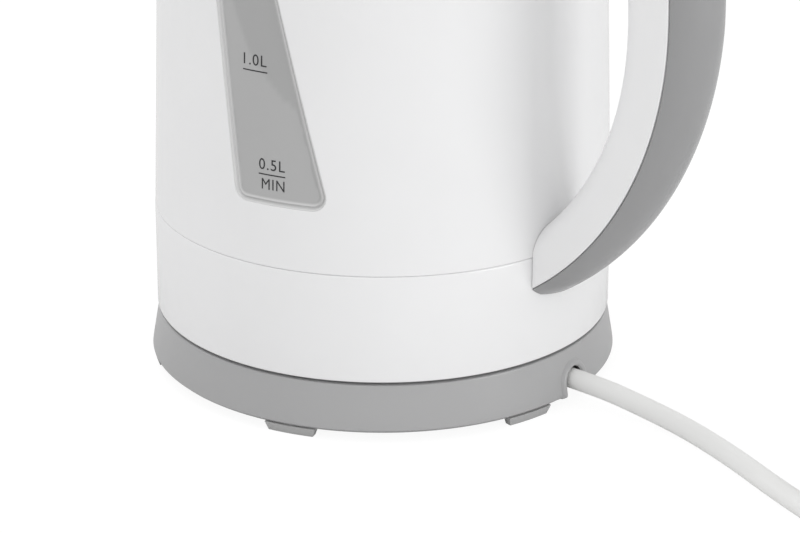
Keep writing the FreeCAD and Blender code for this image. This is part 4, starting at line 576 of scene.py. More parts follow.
@dataclass
class WaterWindow:
    """The slanted window in the jug's wall, with its smoked panel and its water marks."""

    facing: float = math.radians(-77.0)
    sill: float = FORM.seam + 19.7 * MM
    rise: float = 108.8 * MM
    left: float = 9.4 * MM
    right: float = 22.4 * MM
    left_lean: float = 14.6 * MM
    right_lean: float = 28.8 * MM
    corner: float = 4.4 * MM
    recess: float = 0.8 * MM
    half_line: float = 83.5 * MM
    one_line: float = 115.2 * MM
    line_width: float = 0.36 * MM
    letter: float = 3.6 * MM
    capital: float = 0.73  # a capital's height in a font of size 1
    letter_space: float = 1.12
    letter_thinned: float = 0.012 * MM
    print_rise: float = 0.03 * MM
    pane_grey: float = 0.425
    shade_grey: float = 0.05
    columns: int = 24
    rows: int = 60
    arc: int = 3

    def outline(self, grow: float = 0.0) -> Array:
        """The rounded outline as (across, height), with as many points as the patch round it has.

        Args:
            grow: how far outside the aperture.

        Returns:
            The outline, anticlockwise from the middle of the lower left corner.
        """
        bottom, top = self.sill - grow, self.sill + self.rise + grow
        slope_left, slope_right = self.left_lean / self.rise, self.right_lean / self.rise
        left, right = self.left + grow, self.right + grow
        radius, arc = self.corner + grow, self.arc
        dense = rounded([
            (-left + slope_left * grow, bottom, radius), (right + slope_right * grow, bottom, radius),
            (right - self.right_lean - slope_right * grow, top, radius),
            (-left - self.left_lean - slope_left * grow, top, radius)], 2 * arc)
        step = 2 * arc + 1
        loop = []
        for side, cells in enumerate([self.columns, self.rows] * 2):
            start = dense[side * step + arc:(side + 1) * step]
            end = dense[(side + 1) % 4 * step:(side + 1) % 4 * step + arc + 1]
            share = np.linspace(0.0, 1.0, cells - 2 * arc + 1)[1:-1, None]
            loop += [start, between(start[-1], end[0], share), end[:-1]]
        return np.concatenate(loop)

    def azimuth(self, flat: Array) -> Array:
        """Azimuth of (across, height) places: the facing plus asin(across / radius)."""
        return self.facing + np.arcsin(flat[..., 0] / FORM.radius(flat[..., 1]))

    def on_wall(self, flat: Array, proud: Array | float) -> Array:
        """Lays flat (across, height) places on the jug's wall, a little outside or inside it."""
        return polar(FORM.radius(flat[..., 1]) + proud, self.azimuth(flat), flat[..., 1])

    def filled(self, loop: Array) -> Array:
        """Rows of points inside a loop.

        Opposite sides are blended straight across in both directions, and the blend of the four
        corners is taken off once.

        Args:
            loop: the loop, as the outline gives it.

        Returns:
            Points, as rows by columns by 2.
        """
        columns, rows = self.columns, self.rows
        bottom = loop[:columns + 1]
        right = loop[columns:columns + rows + 1]
        top = loop[columns + rows:2 * columns + rows + 1][::-1]
        left = np.concatenate([loop[2 * columns + rows:], loop[:1]])[::-1]
        across = np.linspace(0.0, 1.0, columns + 1)[None, :, None]
        up = np.linspace(0.0, 1.0, rows + 1)[:, None, None]
        corners = between(between(bottom[0], bottom[-1], across), between(top[0], top[-1], across), up)
        return between(left[:, None], right[:, None], across) + between(bottom, top, up) - corners

    def pane(self, flat: Array) -> Array:
        """Grey of the pane: darker where the far wall's shade shows through, above a slanted edge."""
        across = np.linspace(0.0, 1.0, flat.shape[1])[None]
        climb = (flat[..., 1] - self.sill) / MM
        edge = np.interp(climb, [28.0, 34.0, 46.0, 64.0, 84.0], [1.1, 0.78, 0.42, 0.20, 0.05])
        return self.pane_grey + self.shade_grey * smooth_step((edge - across) / 0.08 + 0.5)

    def panel(self) -> Mesh:
        """The panel's face: a bevelled, beaded border in rings and the pane inside it in rows.

        The bevel and the bead are shaped in the rings, and the border's grey is painted light on them:
        highlights on the bevel and the bead and shade in the gap at the edge. It depends on the distance
        from the edge and on which way the edge faces: the profiles for left, right, and below and above
        are mixed by the squares of the edge's normal.
        """
        inset = np.array([0.12, 0.3, 0.5, 0.8, 1.1, 1.3, 1.5, 1.8, 2.1, 2.4]) * MM
        sunk = np.array([0.125, 0.25, 0.5625, 1.0, 1.0, 0.8125, 0.75, 0.75, 1.0, 1.0]) * self.recess
        # Painted highlights and painted shade: the border's greys by distance from the edge, in rows for
        # edges that face left, right, and below or above.
        grey = np.array([
            [0.74, 0.73, 0.73, 0.70, 0.67, 0.64, 0.66, 0.62, 0.52, 0.44],
            [0.78, 0.62, 0.44, 0.50, 0.70, 0.70, 0.50, 0.43, 0.42, 0.42],
            [0.85, 0.74, 0.64, 0.56, 0.50, 0.54, 0.68, 0.68, 0.54, 0.475]])
        rings = np.stack([self.outline(-distance) for distance in inset])
        step = np.roll(rings[0], -1, axis=0) - np.roll(rings[0], 1, axis=0)
        step /= np.linalg.norm(step, axis=-1, keepdims=True)
        facing = np.stack([np.minimum(step[:, 1], 0.0), np.maximum(step[:, 1], 0.0), step[:, 0]])
        shape = Surface().grid(self.on_wall(rings, -sunk[:, None]), wrap_columns=True,
                               tint_and_painted_light=grey.T @ facing ** 2)
        flat = self.filled(rings[-1])
        shape.grid(self.on_wall(flat, -self.recess), tint_and_painted_light=self.pane(flat))
        return shape.mesh("water_window", radial=True)

    def mark(self, text: str, across: float, height: float, width: float) -> Mesh:
        """A printed word, laid on the panel as a thin raised print.

        Args:
            text: the word.
            across: the word's middle, across the window.
            height: the word's base line.
            width: the word's width.

        Returns:
            The mesh.
        """
        curve = fill(bpy.data.curves.new(f"word_{text}", "FONT"), body=text, align_x="CENTER",
                     size=self.letter / self.capital, space_character=self.letter_space,
                     offset=-self.letter_thinned, extrude=self.print_rise)
        holder = linked(curve.name, curve)
        bpy.context.view_layer.update()
        mesh = bpy.data.meshes.new_from_object(holder.evaluated_get(bpy.context.evaluated_depsgraph_get()))
        bpy.data.objects.remove(holder)
        places = np.zeros(len(mesh.vertices) * 3)
        mesh.vertices.foreach_get("co", places)
        x, y, z = places.reshape(-1, 3).T
        reach, middle = x.max() - x.min(), (x.max() + x.min()) / 2
        flat = joined((x - middle) * width / reach + across, y + height)
        laid = self.on_wall(flat, z + self.print_rise - self.recess)
        mesh.vertices.foreach_set("co", laid.reshape(-1))
        mesh.update()
        return mesh

    def line(self, across: float, height: float, length: float) -> Mesh:
        """A printed line, bent to the panel."""
        along = np.linspace(-length / 2, length / 2, 9) + across
        rows = np.array([-1.0, 1.0, 1.0, -1.0])[:, None] * self.line_width / 2 + height
        proud = np.array([0.0, 0.0, 2.0, 2.0])[:, None] * self.print_rise - self.recess
        grid = self.on_wall(joined(along, rows), proud)
        shape = Surface().grid(grid, wrap_rows=True)
        return shape.cap(grid[:, 0]).cap(grid[:, -1]).mesh("mark_line")

    def build(self) -> None:
        """Adds the panel and its marks."""
        add_piece("window_panel", self.panel(), Finish.WINDOW, "jug",
                  ("water_window",), wall=2.4 * MM)
        half_middle, one_middle = 3.25 * MM, -2.85 * MM
        for name, word, across, height, width in (
                ("mark_half", "0.5L", half_middle, self.half_line + 1.5 * MM, 9.0 * MM),
                ("mark_one", "1.0L", one_middle, self.one_line + 1.7 * MM, 8.3 * MM),
                ("mark_min", "MIN", 3.7 * MM, self.half_line - 1.1 * MM - self.letter, 7.9 * MM)):
            add_piece(name, self.mark(word, across, height, width), Finish.PRINT, "jug")
        for name, across, height, length in (
                ("mark_half_line", half_middle, self.half_line, 9.3 * MM),
                ("mark_one_line", one_middle, self.one_line, 8.85 * MM)):
            add_piece(name, self.line(across, height, length), Finish.PRINT, "jug")


@dataclass
class Jug:
    """The jug's body: skirt, shell with its spout and window aperture, and floor."""

    window: WaterWindow = field(default_factory=WaterWindow)
    wall: float = 2.5 * MM
    patch_left: float = math.radians(-26.0)
    patch_right: float = math.radians(22.0)
    patch_margin: float = 9 * MM
    spout_sides: Pair = (math.radians(152), math.radians(208))
    columns_beyond: tuple[int, int, int] = (104, 84, 28)
    rows_below: int = 5
    rows_above: int = 6
    skirt_draft: float = 0.2 * MM
    skirt_wall: float = 2.2 * MM
    seam_gap: float = 0.08 * MM
    flange_wall: float = 1.8 * MM

    def azimuths(self) -> Array:
        """Directions of the shell's columns: even in the window's patch, finer round the spout."""
        start = self.window.facing + self.patch_left
        stops = [start, self.window.facing + self.patch_right, *self.spout_sides, start + TURN]
        counts = [self.window.columns, *self.columns_beyond]
        return np.concatenate([np.linspace(low_stop, high_stop, count, endpoint=False)
                               for low_stop, high_stop, count in zip(stops, stops[1:], counts)])

    def heights(self) -> tuple[Array, int, int]:
        """Heights of the shell's rows, and the rows at the patch's lower and upper edges."""
        bottom = self.window.sill - self.patch_margin
        top = self.window.sill + self.window.rise + self.patch_margin
        below = np.linspace(FORM.seam, bottom, self.rows_below, endpoint=False)
        patch = np.linspace(bottom, top, self.window.rows, endpoint=False)
        above = np.linspace(top, FORM.top, self.rows_above)
        return np.concatenate([below, patch, above]), len(below), len(below) + len(patch)

    def shell(self) -> Mesh:
        """The wall's outside: a grid about the axis, with rings round the window in place of a patch."""
        azimuth = self.azimuths()
        height, first, last = self.heights()
        columns = self.window.columns
        keep = np.ones((len(height) - 1, len(azimuth)), bool)
        keep[first:last, :columns] = False
        shape = Surface().grid(FORM.point(azimuth[None], height[:, None]), wrap_columns=True, keep=keep)
        across, up = azimuth[:columns + 1], height[first:last + 1]
        patch = np.concatenate([joined(across[:-1], up[0]), joined(across[-1], up[:-1]),
                                joined(across[:0:-1], up[-1]), joined(across[0], up[:0:-1])])
        outline = self.window.outline()
        hole = joined(self.window.azimuth(outline), outline[:, 1])
        weight = np.array([0.0, 0.06, 0.16, 0.32, 0.54, 0.77, 1.0])[:, None, None]
        rings = between(hole, patch, weight)
        return shape.grid(FORM.point(rings[..., 0], rings[..., 1]), wrap_columns=True).mesh("jug_shell")

    def skirt(self) -> Mesh:
        """The lower band: its outline turned about the axis."""
        outer, top = FORM.skirt_radius, FORM.seam - self.seam_gap
        outline = rounded([
            (outer - self.skirt_wall, FORM.skirt_low), (outer, FORM.skirt_low, 0.8 * MM),
            (outer - self.skirt_draft, top, 0.7 * MM), (outer - self.skirt_draft - self.skirt_wall, top)])
        return turned(outline, "jug_skirt", 256)

    def floor(self) -> Mesh:
        """Neck and flange under the shell: a turned ring that holds the heating plate."""
        neck = high("jug_underside", Y) + 0.6 * MM
        inner = neck - 0.2 * MM
        flange = high("heating_plate", Y) - 2.5 * MM
        under = high("heating_plate", Z) + 1.2 * MM
        over = under + self.flange_wall
        foot = under - 8 * MM
        outline = rounded([
            (neck + self.wall, foot), (neck + self.wall, FORM.seam + 0.2 * MM),
            (inner, FORM.seam + 3 * MM), (inner, over, 2 * MM), (flange, over, 0.5 * MM),
            (flange, under, 0.5 * MM), (neck, under), (neck, foot)])
        return turned(outline, "jug_floor", 160)

    def build(self) -> None:
        """Adds the jug's pieces."""
        add_piece("jug_wall", self.shell(), Finish.WHITE, "jug", ("jug_shell",),
                  wall=self.wall, bevel=0.25 * MM, angle=50.0)
        add_piece("jug_floor", self.floor(), Finish.INSIDE, "jug")
        add_piece("jug_band", self.skirt(), Finish.WHITE, "jug", ("jug_skirt",))
        self.window.build()


# Handle

@dataclass
class Handle:
    """The handle's two halves: a white channel on the grip side and a crowned grey cover."""

    width: float = 24 * MM
    back: float = high("handle_shell", X)
    back_radii: Triple = (111.6 * MM, 200 * MM, 24 * MM)
    grip: float = FORM.skirt_radius + 28.2 * MM
    grip_radii: Triple = (93.5 * MM, 180 * MM, 12 * MM)
    grip_turn: float = math.radians(12.0)
    grip_drop: float = 3.9 * MM
    grip_round: float = 9 * MM
    widest: float = FORM.seam + 81.1 * MM
    head: float = high("handle_shell", Z)
    front: float = low("handle_cover", X)
    root: float = FORM.skirt_radius - 9 * MM
    body_gap: float = 0.05 * MM
    seam_gap: float = 0.5 * MM
    cover_inset: float = 0.4 * MM
    nose_crown: float = 3.8 * MM
    crown: float = 8.3 * MM
    chin_low: float = low("handle_cover", Z)
    chin_start: float = FORM.skirt_radius + 9 * MM
    chin_slope: float = 0.5
    opening_half: float = 7.4 * MM
    rocker_centre: Pair = (105.6 * MM, 197.6 * MM)
    rocker_reach: float = 15.9 * MM
    button_end: float = 81.8 * MM
    stations: tuple[int, int, int, int] = (260, 120, 90, 60)
    section_steps: int = 9
    run_rows: int = 150
    rocker_rows: int = 24
    bridge_rows: int = 16
    button_rows: int = 12

    def line(self, reach: float, middle: float, radii: Triple,
             turn: float) -> Array:
        """A side of the handle: two flat arcs, a corner and a level stretch, each tangent to the next.

        Args:
            reach: x of the side's widest point.
            middle: height of the widest point.
            radii: radii of the lower arc, the upper arc and the corner.
            turn: angle at which the upper arc meets the corner.

        Returns:
            Stations from the root to the front, as (x, z).
        """
        flat, crest, corner = radii
        spread = crest - corner
        centre = (reach - crest + spread * math.cos(turn), middle + spread * math.sin(turn))
        arcs = ((reach - flat, middle, flat, -math.acos((self.root - reach + flat) / flat), 0.0),
                (reach - crest, middle, crest, 0.0, turn), (*centre, corner, turn, math.pi / 2))
        runs = []
        for (x, z, radius, start, end), steps in zip(arcs, self.stations):
            angle = np.linspace(start, end, steps, endpoint=False)
            runs.append(joined(x + radius * np.cos(angle), z + radius * np.sin(angle)))
        level = np.linspace(centre[0], self.front, self.stations[-1])
        return np.concatenate([*runs, joined(level, centre[1] + corner)])

    def back_line(self) -> Array:
        """The white half's back, with its level stretch at the head's height."""
        crest, corner = self.back_radii[1:]
        turn = math.asin((self.head - corner - self.widest) / (crest - corner))
        return self.line(self.back, self.widest, self.back_radii, turn)

    def stand_off(self, points: Array) -> Array:
        """How far points stand off the jug's wall: their radius less the wall's, less a gap."""
        wall = np.where(points[..., 2] < FORM.skirt_top, FORM.skirt_radius, FORM.radius(points[..., 2]))
        return np.hypot(points[..., 0], points[..., 1]) - wall - self.body_gap

    @staticmethod
    def raised(line: Array, aim: Array, rise: Array, y: Array) -> Array:
        """Points off a line of stations.

        Args:
            line: (x, z) of each station.
            aim: the direction (x, z) at each station.
            rise: how far along the aim, as stations by places.
            y: the places' y.

        Returns:
            Points, as stations by places by 3.
        """
        place = line[:, None] + aim[:, None] * rise[..., None]
        return joined(place[..., 0], y, place[..., 1])

    def channel(self) -> Mesh:
        """The white half: a U-shaped section at each station, cut where it enters the jug.

        Down each side the point goes from back to grip by its share; at the grip it follows a quarter
        circle of the rounding; across the grip it runs straight. The rows are spread evenly between
        the two ends at the jug.
        """
        back = self.back_line()
        grip = self.line(self.grip, self.widest - self.grip_drop, self.grip_radii, self.grip_turn)
        half, corner, steps = self.width / 2, self.grip_round, self.section_steps
        span = np.linalg.norm(back - grip, axis=-1, keepdims=True)
        side = np.linspace(1.0, 0.0, steps)[:-1]
        quarter = np.linspace(0.0, math.pi / 2, steps)
        across = np.linspace(-1.0, 1.0, steps)[1:-1]
        side_depth = corner + (span - self.seam_gap - corner) * side
        round_depth = np.broadcast_to(corner * (1 - np.sin(quarter)), (len(span), steps))
        depth = np.concatenate([side_depth, round_depth, np.zeros((len(span), len(across))),
                                round_depth[:, ::-1], side_depth[:, ::-1]], axis=1)
        side_y = np.full(len(side), half)
        round_y = half - corner * (1 - np.cos(quarter))
        y = np.concatenate([-side_y, -round_y, across * (half - corner), round_y[::-1], side_y])
        dense = self.raised(grip, (back - grip) / span, depth, y)
        stand = self.stand_off(dense)
        start, end = first_place(stand), len(dense) - 1 - first_place(stand[::-1])
        places = between(start, end, np.linspace(0.0, 1.0, self.run_rows)[:, None])
        return Surface().grid(resampled(dense, places)).mesh("handle_white")

    def across(self) -> tuple[Array, slice]:
        """Places across the cover from -1 to 1, and which of its cells the openings span."""
        edge = math.asin(self.opening_half / (self.width / 2 - self.cover_inset))
        side = np.linspace(-math.pi / 2, -edge, 11)
        middle = np.linspace(-edge, edge, 21)
        angle = np.concatenate([side[:-1], middle[:-1], -side[::-1]])
        return np.sin(angle), slice(len(side) - 1, len(side) + len(middle) - 2)

    def crowned(self) -> Array:
        """The cover's back: circular segments stood on the back line, square to it.

        At a place y across, the height is sqrt(r^2 - y^2) - (r - crown), where the segment's radius r
        is (half^2 + crown^2) / (2 crown). The crown grows evenly from the nose to the widest point.

        Returns:
            Points, as dense stations by columns by 3.
        """
        line = self.back_line()
        along = np.gradient(line, axis=0)
        along /= np.linalg.norm(along, axis=-1, keepdims=True)
        normal = joined(along[:, 1], -along[:, 0])
        grown = np.clip(np.arange(len(line)) / self.stations[0], 0.0, 1.0)[:, None]
        crown = self.nose_crown + (self.crown - self.nose_crown) * grown
        half = self.width / 2 - self.cover_inset
        radius = (half ** 2 + crown ** 2) / (2 * crown)
        y = self.across()[0][None] * half
        return self.raised(line, normal, np.sqrt(radius ** 2 - y ** 2) - (radius - crown), y)

    def chin(self, reach: Array) -> Array:
        """Height of the flat under the nose: level near the jug, then climbing away from it."""
        return self.chin_low + self.chin_slope * np.maximum(reach - self.chin_start, 0.0)

    def cover(self) -> Mesh:
        """The grey cover, open for the rocker on the shoulder and for the button at the front."""
        dense = self.crowned()
        opening = self.across()[1]
        middle = dense[:, dense.shape[1] // 2]
        level = len(dense) - self.stations[-1]
        near = np.hypot(middle[:, 0] - self.rocker_centre[0], middle[:, 2] - self.rocker_centre[1])
        rocker, rocker_end = np.flatnonzero(near < self.rocker_reach)[[0, -1]]
        button = np.interp(-self.button_end, -middle[level:, 0], np.arange(level, len(dense)))
        stand = np.minimum(self.stand_off(dense), dense[..., 2] - self.chin(dense[..., 0]))
        stand[level:] = 1.0
        run = between(first_place(stand), rocker, np.linspace(0.0, 1.0, self.run_rows)[:-1, None])
        top = np.concatenate([np.linspace(rocker, rocker_end, self.rocker_rows)[:-1],
                              np.linspace(rocker_end, button, self.bridge_rows)[:-1],
                              np.linspace(button, len(dense) - 1.0, self.button_rows)])
        grid = resampled(dense, np.concatenate([run, np.tile(top[:, None], dense.shape[1])]))
        bridge = len(run) + self.rocker_rows - 1
        shape = Surface().grid(grid, keep=opened(
            grid, opening, slice(len(run), bridge), slice(bridge + self.bridge_rows - 1, None)))
        edge = grid[0]
        wall_x = np.sqrt(FORM.skirt_radius ** 2 - edge[:, 1] ** 2) + self.body_gap
        inner_x = np.minimum(wall_x, edge[:, 0])
        inner_z = self.chin(inner_x) + edge[:, 2] - self.chin(edge[:, 0])
        weight = np.array([0.0, 0.25, 0.45, 0.68, 0.85, 1.0])[:, None, None]
        underside = between(edge, joined(inner_x, edge[:, 1], inner_z), weight)
        shape.grid(underside, keep=opened(underside, opening, slice(2, 3)))
        foot = grid[-1].copy()
        foot[:, 2] = self.head + 0.2 * MM
        front = np.stack([grid[-1], foot])
        return shape.grid(front, keep=opened(front, opening, slice(None))).mesh("handle_cover", radial=True)

    def build(self) -> None:
        """Adds the handle's pieces."""
        add_piece("handle_grip_half", self.channel(), Finish.HANDLE_WHITE, "jug",
                  ("handle_shell",), wall=2.3 * MM, bevel=0.3 * MM, angle=55.0)
        add_piece("handle_back_cover", self.cover(), Finish.GREY, "jug",
                  ("handle_cover",), wall=1.6 * MM, bevel=0.3 * MM, angle=40.0)


# Power base

@dataclass
class PowerBase:
    """The round base's raised cover, with its cord notch and the lip round the notch."""

    cord_azimuth: float = math.radians(6.0)
    bottom: float = low("base_cover", Z)
    plateau: float = high("base_cover", Z)
    mouth: float = high("coupling_base", X) + 0.4 * MM
    mouth_depth: float = 2.2 * MM
    ring: float = FORM.skirt_low - 1.0 * MM
    ring_radius: float = FORM.skirt_radius - 0.4 * MM
    ring_inner: float = FORM.skirt_radius - 3.7 * MM
    wide_radius: float = FORM.skirt_radius + 2.1 * MM
    foot_round: float = 1.2 * MM
    notch_width: float = 9.5 * MM
    notch_rise: float = 9.0 * MM
    lip_width: float = 2.3 * MM
    lip_proud: float = 1.0 * MM
    lip_rings: Array = field(default_factory=lambda: np.array([[0.0, 0.35, 0.8, 1.3, 1.8, 2.3, 2.9]]).T * MM)
    patch_half: float = math.radians(9.0)
    patch_margin: float = 0.6 * MM
    patch_rows: int = 14
    patch_columns: int = 12
    columns: int = 220

    def side_radius(self, height: Array) -> Array:
        """Radius of the side at a height: a rounded foot, then straight up to the top ring."""
        quarter = np.linspace(0.0, math.pi / 2, 5)
        radii = self.wide_radius - self.foot_round * (1 - np.sin(quarter))
        heights = self.bottom + self.foot_round * (1 - np.cos(quarter))
        return np.interp(height, np.append(heights, self.ring), np.append(radii, self.ring_radius))

    def profile(self) -> Array:
        """The cover's profile as (radius, height): the side's rows, the ring, the plateau, the mouth."""
        height = np.linspace(self.bottom, self.ring - self.patch_margin, self.patch_rows + 1)
        side = joined(self.side_radius(height), height)
        rim = rounded([
            tuple(side[-1]), (self.ring_radius, self.ring, 0.5 * MM),
            (self.ring_inner, self.ring, 0.6 * MM), (self.ring_inner - 0.5 * MM, self.plateau, 0.8 * MM),
            (self.mouth, self.plateau, 0.6 * MM), (self.mouth, self.plateau - self.mouth_depth)])
        return np.concatenate([side, rim[1:]])

    def notch(self) -> Array:
        """Rings from the notch's arch out over its lip, as (across, height).

        Two straight legs carry a half circle. Each point has its own way outwards, and the rings lie
        at growing distances along it.
        """
        half, leg = self.notch_width / 2, self.patch_rows // 2
        arch = self.bottom + self.notch_rise - half
        turn = np.linspace(math.pi, 0.0, 2 * self.patch_rows + self.patch_columns + 1 - 2 * leg)
        legs = np.linspace(self.bottom, arch, leg, endpoint=False)
        across = np.concatenate([np.full(leg, -half), half * np.cos(turn), np.full(leg, half)])
        up = np.concatenate([legs, arch + half * np.sin(turn), legs[::-1]])
        outward = joined(np.where(up < arch, np.sign(across), across / half),
                         np.where(up < arch, 0.0, (up - arch) / half))
        return joined(across, up) + outward * self.lip_rings[..., None]

    def cover(self) -> Mesh:
        """The cover's outside, with rings round the cord notch in place of a patch.

        The lip stands proud by sin(pi d / width)^0.5 at a distance d from the notch's edge.
        """
        columns, rows, profile = self.patch_columns, self.patch_rows, self.profile()
        start = self.cord_azimuth - self.patch_half
        patch = np.linspace(start, start + 2 * self.patch_half, columns + 1)
        rest = np.linspace(patch[-1], start + TURN, self.columns, endpoint=False)
        azimuth = np.append(patch[:-1], rest)
        keep = np.ones((len(profile) - 1, len(azimuth)), bool)
        keep[:rows, :columns] = False
        shape = Surface().grid(polar(profile[:, :1], azimuth[None], profile[:, 1:]),
                               wrap_columns=True, keep=keep)
        height = profile[:rows + 1, 1]
        edge = np.concatenate([joined(patch[0], height[:-1]), joined(patch, height[-1]),
                               joined(patch[-1], height[-2::-1])])
        near = self.notch()
        lip = np.sin(np.minimum(self.lip_rings / self.lip_width, 1.0) * math.pi)
        proud = np.where(self.lip_rings < self.lip_width, np.abs(lip) ** 0.5, 0.0) * self.lip_proud
        near_azimuth = self.cord_azimuth + near[..., 0] / self.wide_radius
        shape.grid(polar(self.side_radius(near[..., 1]) + proud, near_azimuth, near[..., 1]))
        outer = joined(near_azimuth[-1], near[-1, :, 1])
        far = between(outer, edge, np.linspace(0.0, 1.0, 5)[:, None, None])
        shape.grid(polar(self.side_radius(far[..., 1]), far[..., 0], far[..., 1]))
        return shape.mesh("base_cover")

    def build(self) -> None:
        """Adds the base's cover."""
        add_piece("base_top_cover", self.cover(), Finish.BASE_GREY, "power_base",
                  ("base_cover",), wall=2.2 * MM, bevel=0.3 * MM, angle=50.0)


# Supply cord

@dataclass
class SupplyCord:
    """The mains cord: out of the notch, along the table, round its coil and on to the plug."""

    diameter: float = 6.6 * MM
    length: float = 0.75
    centre: Pair = (0.2082, 0.0212)
    turn_radius: float = 36.2 * MM
    turns: float = 2.43
    start: float = math.radians(-118.0)
    climb: Pair = (0.42, 0.56)
    per_turn: int = 14

    def route(self) -> Array:
        """The spline's control points: the first run, the coil's turns and the tail.

        In the coil the radius swings by half a diameter, as a cosine with one half wave to each turn,
        and the cord climbs by one diameter where it crosses itself.
        """
        first = np.array([
            (63.6, 6.7, 8.2), (84.0, 9.4, 7.5), (102.0, 11.4, 4.8), (120.0, 10.4, 3.3),
            (142.0, 3.6, 3.3), (165.0, -5.6, 3.3)]) * MM
        last = np.array([(222.5, 57.3, 10.6), (210.0, 70.6, 14.8), (196.5, 84.1, 18.5)]) * MM
        share = np.linspace(0.0, 1.0, round(self.turns * self.per_turn))
        radius = self.turn_radius + self.diameter / 2 * np.cos(share * math.pi * self.turns)
        crossing = (share - self.climb[0]) / (self.climb[1] - self.climb[0])
        rise = self.diameter / 2 + self.diameter * smooth_step(crossing)
        coil = polar(radius, self.start + share * self.turns * TURN, rise) + (*self.centre, 0.0)
        return np.concatenate([first, coil, last])

    def build(self) -> None:
        """Adds the cord as one spline with a round section."""
        curve = fill(bpy.data.curves.new("supply_cord", "CURVE"), dimensions="3D", use_fill_caps=True,
                     bevel_depth=self.diameter / 2, bevel_resolution=8, resolution_u=12)
        route = self.route()
        spline = curve.splines.new("NURBS")
        spline.points.add(len(route) - 1)
        spline.points.foreach_set("co", np.c_[route, np.ones(len(route))].ravel())
        fill(spline, order_u=3, use_endpoint_u=True)
        curve.materials.append(Finish.SLEEVE.material())
        piece = linked("supply_cord", curve)
        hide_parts("power_cord", "cord_coil", "cord_tail")
        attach(piece, "power_base")
        log.info("supply_cord rides on power_base")


# Pieces kept from the frame

@dataclass
class KeptNodes:
    """The frame's own nodes that stay: each is welded for show, split at its edges and dressed."""

    split_angle: float = math.radians(32.0)
    nodes: dict[Finish, str] = field(default_factory=lambda: {
        Finish.BASE_GREY: "base_plate",
        Finish.FOOT: "base_feet",
        Finish.SCREW: "base_screws clamp_screws hinge_pin heating_element jug_screws",
        Finish.DARK: "coupling_base cord_clamp guide_ring jug_socket switch_carrier latch_bolt trip_lever",
        Finish.BRASS: "base_contacts plug_earth_clips bimetal_discs steam_disc",
        Finish.SLEEVE: "plug_body",
        Finish.NICKEL: "plug_pins earth_pin",
        Finish.GREY: "rim_collar filter_frame lid_cap lid_button power_rocker",
        Finish.MESH: "filter_mesh",
        Finish.STEEL: "heating_plate",
        Finish.SILICONE: "plate_seal",
        Finish.WHITE: "jug_underside",
        Finish.INSIDE: "lid_liner",
        Finish.LENS: "rocker_lens"})

    def build(self) -> None:
        """Dresses each node."""
        for finish, names in self.nodes.items():
            for name in names.split():
                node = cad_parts[name]
                node.data.materials.clear()
                node.data.materials.append(finish.material())
                node.data.shade_smooth()
                fill(node.modifiers.new("weld", "WELD"), merge_threshold=0.002 * MM)
                fill(node.modifiers.new("edges", "EDGE_SPLIT"), split_angle=self.split_angle)
                fill(node.modifiers.new("even", "WEIGHTED_NORMAL"), mode="FACE_AREA")
                log.info("%s keeps its shape", name)


# Studio

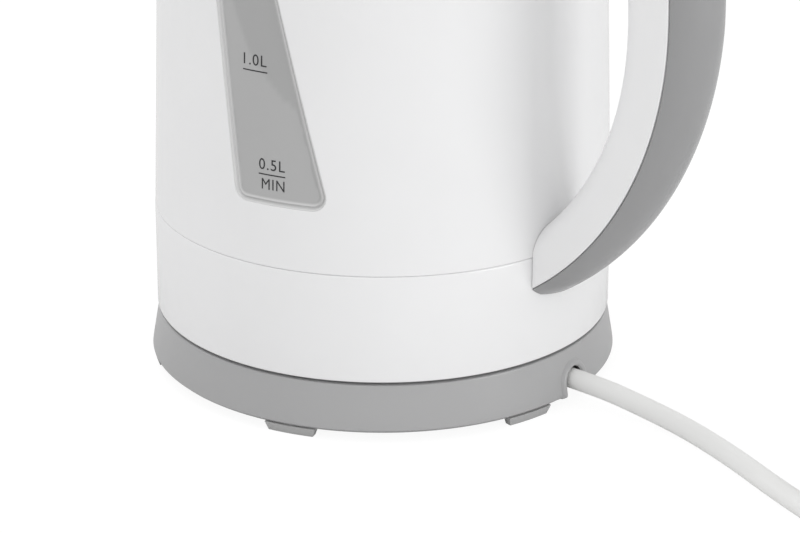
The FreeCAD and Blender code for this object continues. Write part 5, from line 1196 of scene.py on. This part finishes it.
@dataclass
class Studio:
    """Camera, pale floor, world light and soft lamps."""

    place: Triple = (0.5391, -0.5781, 0.3438)
    aim: Triple = (-0.6285, 0.6837, -0.3709)
    upright: Triple = (-0.2525, 0.2717, 0.9287)
    lens: float = 114.9
    sensor: float = 36.0
    clip: float = 0.01
    lit: Triple = (0.0, 0.0, 0.1)
    surround: float = 0.68
    floor_grey: float = 0.88
    floor_soft: float = 0.13
    floor_glow: float = 0.92
    floor_half: float = 6.0

    def camera(self) -> None:
        """Adds the camera."""
        camera = linked("view", fill(bpy.data.cameras.new("view"), lens=self.lens,
                                     sensor_width=self.sensor, clip_start=self.clip))
        back = -Vector(self.aim).normalized()
        up = Vector(self.upright).normalized()
        right = up.cross(back).normalized()
        turn = Matrix((right, back.cross(right), back)).transposed().to_4x4()
        camera.matrix_world = Matrix.Translation(self.place) @ turn
        bpy.context.scene.camera = camera

    def lamp(self, name: str, place: Triple, size: float, power: float) -> None:
        """Adds a soft square lamp that faces the kettle."""
        lamp = linked(name, fill(bpy.data.lights.new(name, "AREA"), shape="SQUARE", size=size,
                                 energy=power))
        aim = Vector(self.lit) - Vector(place)
        fill(lamp, location=place, rotation_euler=aim.to_track_quat("-Z", "Y").to_euler())

    def floor(self) -> None:
        """Adds the pale floor: brighter to the camera than to the kettle, so that it stays white."""
        shader = Shader("pale_floor")
        rays = shader.node("LightPath").outputs
        seen = shader.math("ADD", rays["Is Camera Ray"], rays["Is Transmission Ray"])
        seen = shader.math("MINIMUM", shader.math("MAXIMUM", seen, 0.0), 1.0)
        plain, soft = (shader.node("BsdfDiffuse", {"Color": (grey, grey, grey, 1.0)}).outputs[0]
                       for grey in (self.floor_grey, self.floor_soft))
        glow = shader.node("Emission", {"Color": WHITE_LIGHT, "Strength": self.floor_glow}).outputs[0]
        lit = shader.node("AddShader", {0: soft, 1: glow}).outputs[0]
        material = shader.close(shader.node("MixShader", {0: seen, 1: plain, 2: lit}))
        half = self.floor_half
        mesh = bpy.data.meshes.new("floor")
        mesh.from_pydata([(-half, -half, 0), (half, -half, 0), (half, half, 0), (-half, half, 0)], [],
                         [(0, 1, 2, 3)])
        mesh.materials.append(material)
        linked("floor", mesh)

    def world(self) -> None:
        """Sets the even white surround."""
        shader = Shader("surround", "worlds")
        light = shader.node("Background", {"Color": WHITE_LIGHT, "Strength": self.surround})
        bpy.context.scene.world = shader.close(light, "World")

    def build(self) -> None:
        """Sets up the studio."""
        bpy.context.scene.view_settings.view_transform = "Standard"
        self.camera()
        self.floor()
        self.world()
        self.lamp("key", (0.9, -1.6, 1.6), 1.4, 4.7)
        self.lamp("top", (0.3, -0.3, 2.2), 1.2, 4.4)
        self.lamp("fill", (-1.5, -0.8, 1.2), 1.4, 6.0)
        self.lamp("side", (1.9, 0.3, 0.5), 0.8, 9.5)


def main() -> None:
    """Builds the studio and the kettle, piece by piece."""
    logging.basicConfig(level=logging.INFO, format="%(message)s")
    for assembly in (Studio, SupplyCord, KeptNodes, PowerBase, Jug, Handle):
        assembly().build()
        log.info("%s is done", assembly.__name__)


if __name__ == "__main__":
    main()
